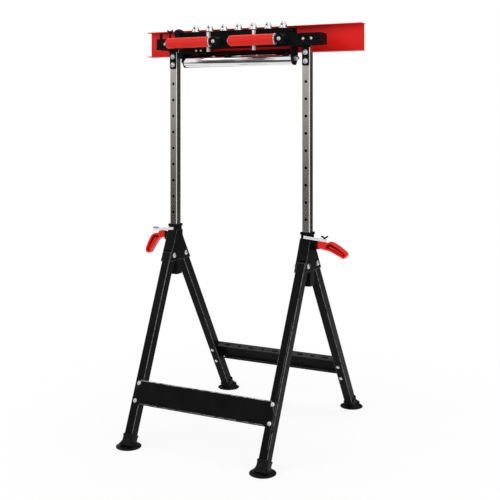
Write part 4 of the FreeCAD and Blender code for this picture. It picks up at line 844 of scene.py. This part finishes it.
class TRESTLE_OT_arm_bars(bpy.types.Operator):
    """Makes the bars of the swinging arms: a black eye on the hub, a zinc cup, rod and tip"""

    bl_idname = "trestle.arm_bars"
    bl_label = "Make arm bars"

    def execute(self, context):
        steps = context.scene.trestle_sizes.round_steps
        for side in SIDES:
            name = f"{side}_arm_bar"
            body = BODY_OF[name]
            pivot = Vector(JOINTS[f"{side}_arm_swing"]["pos_m"])
            grip_low, _, grip_high = box_of(f"{side}_arm_grip")
            low, _, high = box_of(name)
            profile = inset((high.x - pivot.x) / MM, ARM_EYE)
            ring = turned(bmesh.new(), profile, at(pivot, (0, 1, 0)), steps)
            bmesh.ops.remove_doubles(ring, verts=ring.verts, dist=DOUBLES_REACH)
            add_piece(f"{side}_arm_eye", ring, "black_steel", body, crease=CREASE_ANGLE)
            start = (pivot.x - grip_high.x) / MM
            stop = (pivot.x - grip_low.x) / MM
            cup = (grip_high.z - grip_low.z) / 2 / MM
            near = [*ARM_CUP_HUB, *inset(cup, ARM_CUP_RIM), ARM_ROD_START]
            profile = [(radius, start + along) for radius, along in near]
            profile += [(radius, stop + along) for radius, along in ARM_TIP]
            profile.append((0, (pivot.x - low.x) / MM))
            rod = turned(bmesh.new(), profile, at(pivot, (-1, 0, 0)), steps)
            add_piece(f"{side}_arm_rod", rod, "zinc_steel", body, name, crease=CREASE_ANGLE)
        return {"FINISHED"}


# The sleeves, in millimetres: the hole for the rod, and the outside in from the widest, along from the
# near end with its lip, at the middle, and back from the round far end.
SLEEVE_BORE = 5.2
SLEEVE_NEAR = [(1.6, 0), *arc(1.6, 1.6, 1.6, 240, 180, 3), (0, 4), (0.5, 5.5)]
SLEEVE_WAIST = 0.3
SLEEVE_FAR = [(0.5, 11), *arc(9.2, 9, 9, 184, 260, 8)]
SLEEVE_CREASE = 40


class TRESTLE_OT_sleeves(bpy.types.Operator):
    """Turns the red sleeves of the swinging arms"""

    bl_idname = "trestle.sleeves"
    bl_label = "Turn arm sleeves"

    def execute(self, context):
        steps = context.scene.trestle_sizes.round_steps
        for side in SIDES:
            name = f"{side}_arm_grip"
            low, middle, high = box_of(name)
            radius = (high.z - low.z) / 2 / MM
            reach = (high.x - low.x) / MM
            far = [(wide, reach - back) for wide, back in inset(radius, SLEEVE_FAR)]
            profile = [(SLEEVE_BORE, 0), *inset(radius, SLEEVE_NEAR),
                       (radius - SLEEVE_WAIST, reach / 2), *far, (SLEEVE_BORE, reach), (SLEEVE_BORE, 0)]
            lay = at((high.x, middle.y, middle.z), (-1, 0, 0))
            shape = turned(bmesh.new(), profile, lay, steps)
            bmesh.ops.remove_doubles(shape, verts=shape.verts, dist=DOUBLES_REACH)
            add_piece(f"{side}_arm_sleeve", shape, "red_rubber", BODY_OF[name], name,
                      crease=SLEEVE_CREASE)
        return {"FINISHED"}


# The right lever at rest, in millimetres. The root's outline is outwards and upwards from the lever's
# hinge, and the handle's and the rib's are from the place where the handle leaves the root. The left
# one is the same, with its handle turned further down.
HANDLE_PLACE = (28.2, -5.0)
ROOT_OUTLINE = [(5.8, -9), (5.8, 13), (26, 13), (30.5, 11.5), (33, 7), (33, -4), (30, -8), (26, -9)]
HANDLE_OUTLINE = [
    (1.0, -5.5), (17.7, -8.8), (31.5, -15.1), (50.9, -24.0), (57.5, -27.2), (62.0, -26.6),
    (66.5, -22.0), (68.9, -17.7), (67.5, -12.5), (64.8, -8.8), (45.4, 5.2), (26.0, 15.4), (19.0, 17.4),
    (13.5, 17.2), (6.0, 13.5), (-3.0, 7.5), (-7.0, 3.0), (-7.4, -1.0), (-4.5, -5.0),
]
RIB_OUTLINE = [
    (14, 1.5), (30, -4.8), (50, -15), (56, -18.5), (57.5, -15.5), (51, -11.5), (31, -0.8), (15, 5.5),
]
HANDLE_WIDTH = 18
ROOT_WIDTH = 13
RIB_WIDTH = 13
HANDLE_TURNS = {"left": 32, "right": 0}
POCKET_WALL = 5.0
POCKET_DRAFT = 0.5
POCKET_DEPTH = 6.5
# The rounding of each moulding, as a share of the lever's edge.
ROOT_EDGE_SHARE = 2.5
HANDLE_EDGE_SHARE = 0.7
RIB_EDGE_SHARE = 0.6


def handle_shape(lay):
    """A lever's handle with a pocket sunk into each flat side, whose floor is marked for painted shade.
    """
    shape = bmesh.new()
    pocket = shape.faces.layers.float.new("pocket")
    floors = slab(shape, HANDLE_OUTLINE, lay, HANDLE_WIDTH)
    bmesh.ops.recalc_face_normals(shape, faces=shape.faces)
    for floor in floors:
        for thickness, depth in ((POCKET_WALL, 0), (POCKET_DRAFT, POCKET_DEPTH)):
            bmesh.ops.inset_region(shape, faces=[floor], thickness=thickness * MM, depth=-depth * MM)
        # Marks the pocket floor for painted shade.
        floor[pocket] = 1.0
    return shape


class TRESTLE_OT_levers(bpy.types.Operator):
    """Moulds the red clamp levers: a plain root and a pocketed handle with a rib"""

    bl_idname = "trestle.levers"
    bl_label = "Mould clamp levers"

    def execute(self, context):
        edge = context.scene.trestle_sizes.lever_edge
        for side, sign in SIDES.items():
            name = f"{side}_clamp_lever"
            body = BODY_OF[name]
            hinge = Matrix.Translation(JOINTS[f"{side}_lever_turn"]["pos_m"])
            mirror = hinge @ Matrix.Scale(sign, 4, (1, 0, 0))
            place = Matrix.Translation((HANDLE_PLACE[0] * MM, 0, HANDLE_PLACE[1] * MM))
            lay = mirror @ place @ Matrix.Rotation(math.radians(HANDLE_TURNS[side]), 4, "Y")
            root = bmesh.new()
            slab(root, ROOT_OUTLINE, mirror, ROOT_WIDTH)
            add_piece(f"{side}_lever_root", root, "red_plastic", body, edge=edge * ROOT_EDGE_SHARE,
                      segments=4)
            add_piece(name + "_handle", handle_shape(lay), "red_plastic", body, name,
                      edge=edge * HANDLE_EDGE_SHARE)
            rib = bmesh.new()
            slab(rib, RIB_OUTLINE, lay, RIB_WIDTH)
            add_piece(f"{side}_lever_rib", rib, "red_plastic", body, edge=edge * RIB_EDGE_SHARE)
        return {"FINISHED"}


# A foot, in millimetres: its leg, its disc in from the edge and up, and the rings of its boot, each by
# its place along the leg, how much wider than the leg it is, and its corner.
LEG_WIDTH = 27
LEG_DEPTH = 31
DISC_RINGS = [
    (1.5, 0), *arc(1.3, 1.3, 1.3, 250, 120), (2.0, 3.0), (4, 3.4), (4.6, 3.0), (6, 3.2), (8, 4.0),
    (8.8, 3.7), (10, 4.1), (12.5, 5.4), (15, 6.4), (19, 7),
]
BOOT_RINGS = [
    (-2, 19, 9), (4, 14, 8), (8, 9.5, 7), (12, 6.2, 6), (17, 4.6, 5), (24.6, 4.3, 4.5), (25, 6.0, 5),
    (30.4, 6.0, 5), (31, 5.2, 4.6), (31, 0.4, 3.2), (28, 0.2, 3.0),
]
BOOT_FLOOR = 1.2
FOOT_CREASE = 28


def rounded_ring(width, depth, corner):
    """Points of a rectangle with round corners, in millimetres."""
    points = []
    for x, y, start in ((1, 1, 0), (-1, 1, 90), (-1, -1, 180), (1, -1, 270)):
        centre = (x * (width / 2 - corner), y * (depth / 2 - corner))
        points += arc(*centre, corner, start, start + 90)
    return points


def boot(shape, lay):
    """Adds a foot's boot: rings along the leg, flared into the disc, with a collar round its mouth."""
    rings = []
    for along, spare, corner in BOOT_RINGS:
        ring = []
        for x, y in rounded_ring(LEG_WIDTH + spare, LEG_DEPTH + spare, corner):
            point = lay @ Vector((x * MM, y * MM, along * MM))
            point.z = max(point.z, BOOT_FLOOR * MM)
            ring.append(shape.verts.new(point))
        rings.append(ring)
    for low, high in zip(rings, rings[1:]):
        join_rings(shape, low, high)
    shape.faces.new(rings[0][::-1])
    shape.faces.new(rings[-1])


class TRESTLE_OT_feet(bpy.types.Operator):
    """Moulds the four feet: a ringed disc and a flared boot round the leg's end"""

    bl_idname = "trestle.feet"
    bl_label = "Mould feet"

    def execute(self, context):
        steps = context.scene.trestle_sizes.round_steps
        for end in ENDS:
            pivot = Vector(JOINTS[f"{end}_leg_fold"]["pos_m"])
            for side in SIDES:
                name = f"{end}_{side}_foot"
                low, _, high = box_of(name)
                radius = (high.x - low.x) / 2 / MM
                centre = foot_centre(end, side)
                start = centre + Vector((0, 0, FOOT_AXIS * MM))
                pivot.x = box_of(f"{side}_post")[1].x
                up = (pivot - start).normalized()
                across = Vector((1, 0, 0))
                across = (across - up * across.dot(up)).normalized()
                turn = Matrix((across, up.cross(across), up)).transposed().to_4x4()
                profile = [(0, 0), *inset(radius, DISC_RINGS), (0, DISC_RINGS[-1][1])]
                shape = turned(bmesh.new(), profile, at(centre), steps)
                boot(shape, Matrix.Translation(start) @ turn)
                add_piece(f"{name}_moulding", shape, "black_plastic", BODY_OF[name], name,
                          crease=FOOT_CREASE)
        return {"FINISHED"}


# The knob, in millimetres down from its top: its collar, its grip in from its edge, and its crown.
KNOB_HEIGHT = 29.7
KNOB_COLLAR = [(0, -29.7), (12.6, -29.7), (13, -29.2), (13, -17.5), (14.2, -17)]
KNOB_GRIP = [(0.8, -17), (0, -16), (0, -9.6), (0.6, -8)]
KNOB_CROWN = [*arc(0, -20.5, 20.5, 42, 88, 9), (0, 0)]
KNOB_FLUTES = 14
KNOB_FLUTE_DEPTH = 0.7
KNOB_CREASE = 30
THREAD_RADII = (3.5, 4)
THREAD_STEP = 0.55
THREAD_CREASE = 20

# The tab at the end of each lock strap: an outline in shares of its span and height, and its height in
# millimetres.
LOCK_WING = [(-0.1, 0), (0.1, 0), (0.2, 0.3), (0.5, 0.6), (0.46, 1), (0.3, 0.95), (0, 0.45),
             (-0.3, 0.95), (-0.46, 1), (-0.5, 0.6), (-0.2, 0.3)]
LOCK_PAD = [(-0.5, 0), (0.5, 0), (0.46, 0.5), (0.3, 0.85), (0, 1), (-0.3, 0.85), (-0.46, 0.5)]
LOCK_TABS = {"left": (LOCK_PAD, 4), "right": (LOCK_WING, 10)}
TAB_SPAN = 22
TAB_DEPTH = 5
TAB_EDGE = 0.9


class TRESTLE_OT_knob_and_wings(bpy.types.Operator):
    """Moulds the round knob, its screw and the wings on the lock straps"""

    bl_idname = "trestle.knob_and_wings"
    bl_label = "Mould knob and wings"

    def execute(self, context):
        steps = context.scene.trestle_sizes.round_steps
        low, middle, high = box_of("clamp_knob")
        body = BODY_OF["clamp_knob"]
        radius = (high.x - low.x) / 2 / MM
        top = at((middle.x, middle.y, high.z))
        profile = [*KNOB_COLLAR, *inset(radius, KNOB_GRIP), *KNOB_CROWN]
        head = turned(bmesh.new(), profile, top, steps * 2, KNOB_FLUTES, KNOB_FLUTE_DEPTH)
        add_piece("clamp_knob_head", head, "black_plastic", body, "clamp_knob", crease=KNOB_CREASE)
        count = int(((high.z - low.z) / MM - KNOB_HEIGHT) / THREAD_STEP)
        turns = [(THREAD_RADII[i % 2], -KNOB_HEIGHT - i * THREAD_STEP) for i in range(count)]
        thread = turned(bmesh.new(), [(0, -KNOB_HEIGHT), *turns, (0, turns[-1][1])], top, steps // 2)
        add_piece("clamp_screw", thread, "zinc_steel", body, crease=THREAD_CREASE)
        for side, (shares, height) in LOCK_TABS.items():
            name = f"{side}_lock_tab"
            low, middle, high = box_of(name)
            base = (low.z - high.z) / 2 / MM
            outline = [(TAB_SPAN * x, base + height * z) for x, z in shares]
            shape = bmesh.new()
            slab(shape, outline, Matrix.Translation(middle), TAB_DEPTH)
            add_piece(f"{side}_lock_wing", shape, "black_plastic", BODY_OF[name], name,
                      edge=TAB_EDGE * MM)
        return {"FINISHED"}


CAMERA_PLACE = (1.2707, -2.4558, 0.9493)
CAMERA_TURN = math.radians(27.06)
CAMERA_LENS = 65.06
CAMERA_SENSOR = 36
CAMERA_SHIFT = -0.271
WORLD_LIGHT = 0.85
FLOOR_SIZE = 30
FLOOR_TONES = ((0.86, 0.86, 0.86, 1), (0.9, 0.9, 0.9, 1))
FLOOR_ROUGHNESS = 0.7
FLOOR_SHEEN = 0.05
FLOOR_GLOW = 0.82
FLOOR_GLOW_REACH = (0.5, 1.3)
CARD_TINT = (1.0, 0.94, 0.88, 1)
# Name, place, what it faces, width and height, the two heights between which its light changes, and its
# light at each. Places and sizes are in metres.
CARDS = (
    ("Back card", (0.2, 2.6, 1.1), (0, 0, 1.1), 6.0, 3.0, 0.3, 1.6, 0.03, 0.08),
    ("Front card", (-1.6, -3.0, 0.75), (0, 0, 0.9), 2.6, 1.4, 0.35, 1.35, 0.03, 0.6),
    ("High card", (-1.6, -3.0, 2.3), (0, 0, 1.2), 2.8, 1.3, 1.6, 3.0, 0.08, 0.03),
    ("Left card", (-3.2, -0.4, 1.2), (0, 0, 1.2), 1.8, 2.4, 0.4, 1.6, 0.05, 0.12),
    ("Right card", (3.2, 1.2, 1.2), (0, 0, 1.2), 2.2, 2.4, 0.4, 1.6, 0.05, 0.12),
    ("Roof card", (-0.9, -1.5, 2.6), (0, 0, 1.1), 2.6, 1.1, 1.6, 3.0, 0.06, 0.06),
    ("Low card", (-0.9, -1.8, 0.02), (-0.9, -1.8, 2.0), 3.2, 2.3, 0.0, 1.0, 0.10, 0.10),
)
# Name, place, what it faces, width and height, and power in watts.
LAMPS = (
    ("Key", (-1.8, -2.6, 2.6), (0, 0, 0.7), 1.6, 1.6, 28),
    ("Fill", (2.6, -1.6, 1.6), (0, 0, 0.6), 1.4, 1.8, 8),
    ("Top", (0.2, 0.6, 3.2), (0, 0, 0.6), 1.8, 1.8, 16),
)


def area_light(name, place, target, width, height, power):
    """A soft rectangular lamp that faces a target."""
    lamp = bpy.data.lights.new(name, "AREA")
    lamp.shape = "RECTANGLE"
    lamp.size = width
    lamp.size_y = height
    lamp.energy = power
    item = put_in_scene(name, lamp)
    item.location = place
    item.rotation_euler = (Vector(target) - Vector(place)).to_track_quat("-Z", "Y").to_euler()


def make_camera():
    """The camera at the photograph's place."""
    camera = bpy.data.cameras.new("Camera")
    camera.sensor_fit = "HORIZONTAL"
    camera.sensor_width = CAMERA_SENSOR
    camera.lens = CAMERA_LENS
    camera.shift_y = CAMERA_SHIFT
    item = put_in_scene("Camera", camera)
    item.location = CAMERA_PLACE
    item.rotation_euler = (math.pi / 2, 0, CAMERA_TURN)
    bpy.context.scene.camera = item


def seen_rays(tree):
    """1 for rays that show a surface as it is: from the camera, in a mirror or through glass."""
    path = add_node(tree, "LightPath")
    seen = math_node(tree, "MAXIMUM", path.outputs["Is Camera Ray"], path.outputs["Is Glossy Ray"])
    return math_node(tree, "MAXIMUM", seen, path.outputs["Is Transmission Ray"])


def make_world():
    """A white surround for camera and mirror rays, and a softer one for the light."""
    world = bpy.data.worlds.new("Studio")
    bpy.context.scene.world = world
    world.use_nodes = True
    tree = world.node_tree
    light = map_range(tree, seen_rays(tree), 0.0, 1.0, WORLD_LIGHT, 1.0)
    feed(tree, tree.nodes["Background"], {"Color": (1, 1, 1, 1), "Strength": light})


def make_floor():
    """A wide pale floor that shows white and keeps the trestle's soft shadow."""
    shape = bmesh.new()
    bmesh.ops.create_grid(shape, x_segments=1, y_segments=1, size=FLOOR_SIZE)
    floor = put_in_scene("Floor", mesh_of(shape, "Floor"))
    material, tree, shader = new_material("Floor")
    vector = object_vector(tree)
    tone = mix_colour(tree, noise(tree, vector, scale=3.0), *FLOOR_TONES)
    feed(tree, shader, {
        "Base Color": tone, "Roughness": FLOOR_ROUGHNESS, "Specular IOR Level": FLOOR_SHEEN})
    glow = add_node(tree, "Emission", {"Strength": 1.0})
    reach = add_node(tree, "VectorMath", {0: vector}, operation="LENGTH")
    share = map_range(tree, reach.outputs["Value"], *FLOOR_GLOW_REACH, FLOOR_GLOW, 1.0)
    share = math_node(tree, "MULTIPLY", seen_rays(tree), share)
    blend = add_node(tree, "MixShader", {0: share, 1: shader.outputs[0], 2: glow.outputs[0]})
    feed(tree, tree.nodes["Material Output"], {"Surface": blend.outputs[0]})
    floor.data.materials.append(material)


def dark_card(name, place, target, width, height, *fade):
    """A card that only mirror rays meet, whose light changes from one height to another."""
    shape = bmesh.new()
    turn = (Vector(target) - Vector(place)).to_track_quat("Z", "Y").to_matrix().to_4x4()
    corners = [Matrix.Translation(place) @ turn @ Vector((x * width / 2, y * height / 2, 0))
               for x, y in ((-1, -1), (1, -1), (1, 1), (-1, 1))]
    shape.faces.new([shape.verts.new(corner) for corner in corners])
    card = put_in_scene(name, mesh_of(shape, name))
    for ray in ("camera", "diffuse", "shadow", "transmission", "volume_scatter"):
        setattr(card, f"visible_{ray}", False)
    material, tree, shader = new_material(name)
    tree.nodes.remove(shader)
    light = map_range(tree, split_xyz(tree, object_vector(tree))["Z"], *fade)
    glow = add_node(tree, "Emission", {"Color": CARD_TINT, "Strength": light})
    feed(tree, tree.nodes["Material Output"], {"Surface": glow.outputs[0]})
    card.data.materials.append(material)


class TRESTLE_OT_stage(bpy.types.Operator):
    """Sets the camera, lamps, surround, floor and cards"""

    bl_idname = "trestle.stage"
    bl_label = "Set stage"

    def execute(self, context):
        context.scene.view_settings.view_transform = "Standard"
        make_camera()
        make_world()
        make_floor()
        for card in CARDS:
            dark_card(*card)
        for lamp in LAMPS:
            area_light(*lamp)
        return {"FINISHED"}


class TRESTLE_PT_panel(bpy.types.Panel):
    """Lists the settings and the dressing steps in the sidebar"""

    bl_label = "Work Trestle"
    bl_idname = "TRESTLE_PT_panel"
    bl_space_type = "VIEW_3D"
    bl_region_type = "UI"
    bl_category = "Trestle"

    def draw(self, context):
        layout = self.layout
        for settings in (context.scene.trestle_colours, context.scene.trestle_sizes):
            for name in settings.__annotations__:
                layout.prop(settings, name)
        for operator in STEPS:
            layout.operator(operator.bl_idname)


STEPS = (
    TRESTLE_OT_stage, TRESTLE_OT_sheet_metal, TRESTLE_OT_bright_parts, TRESTLE_OT_ball_cups,
    TRESTLE_OT_bolts, TRESTLE_OT_arm_bars, TRESTLE_OT_sleeves, TRESTLE_OT_levers, TRESTLE_OT_feet,
    TRESTLE_OT_knob_and_wings,
)
CLASSES = (TrestleColours, TrestleSizes, *STEPS, TRESTLE_PT_panel)


def register():
    """Registers the classes and hangs the settings on the scene."""
    for item in CLASSES:
        bpy.utils.register_class(item)
    bpy.types.Scene.trestle_colours = bpy.props.PointerProperty(type=TrestleColours)
    bpy.types.Scene.trestle_sizes = bpy.props.PointerProperty(type=TrestleSizes)


def unregister():
    """Takes the settings and the classes away again."""
    del bpy.types.Scene.trestle_sizes
    del bpy.types.Scene.trestle_colours
    for item in reversed(CLASSES):
        bpy.utils.unregister_class(item)


def main():
    """Runs every step."""
    register()
    make_materials(bpy.context.scene.trestle_colours)
    for operator in STEPS:
        group, name = operator.bl_idname.split(".")
        getattr(getattr(bpy.ops, group), name)()


if __name__ == "__main__":
    main()
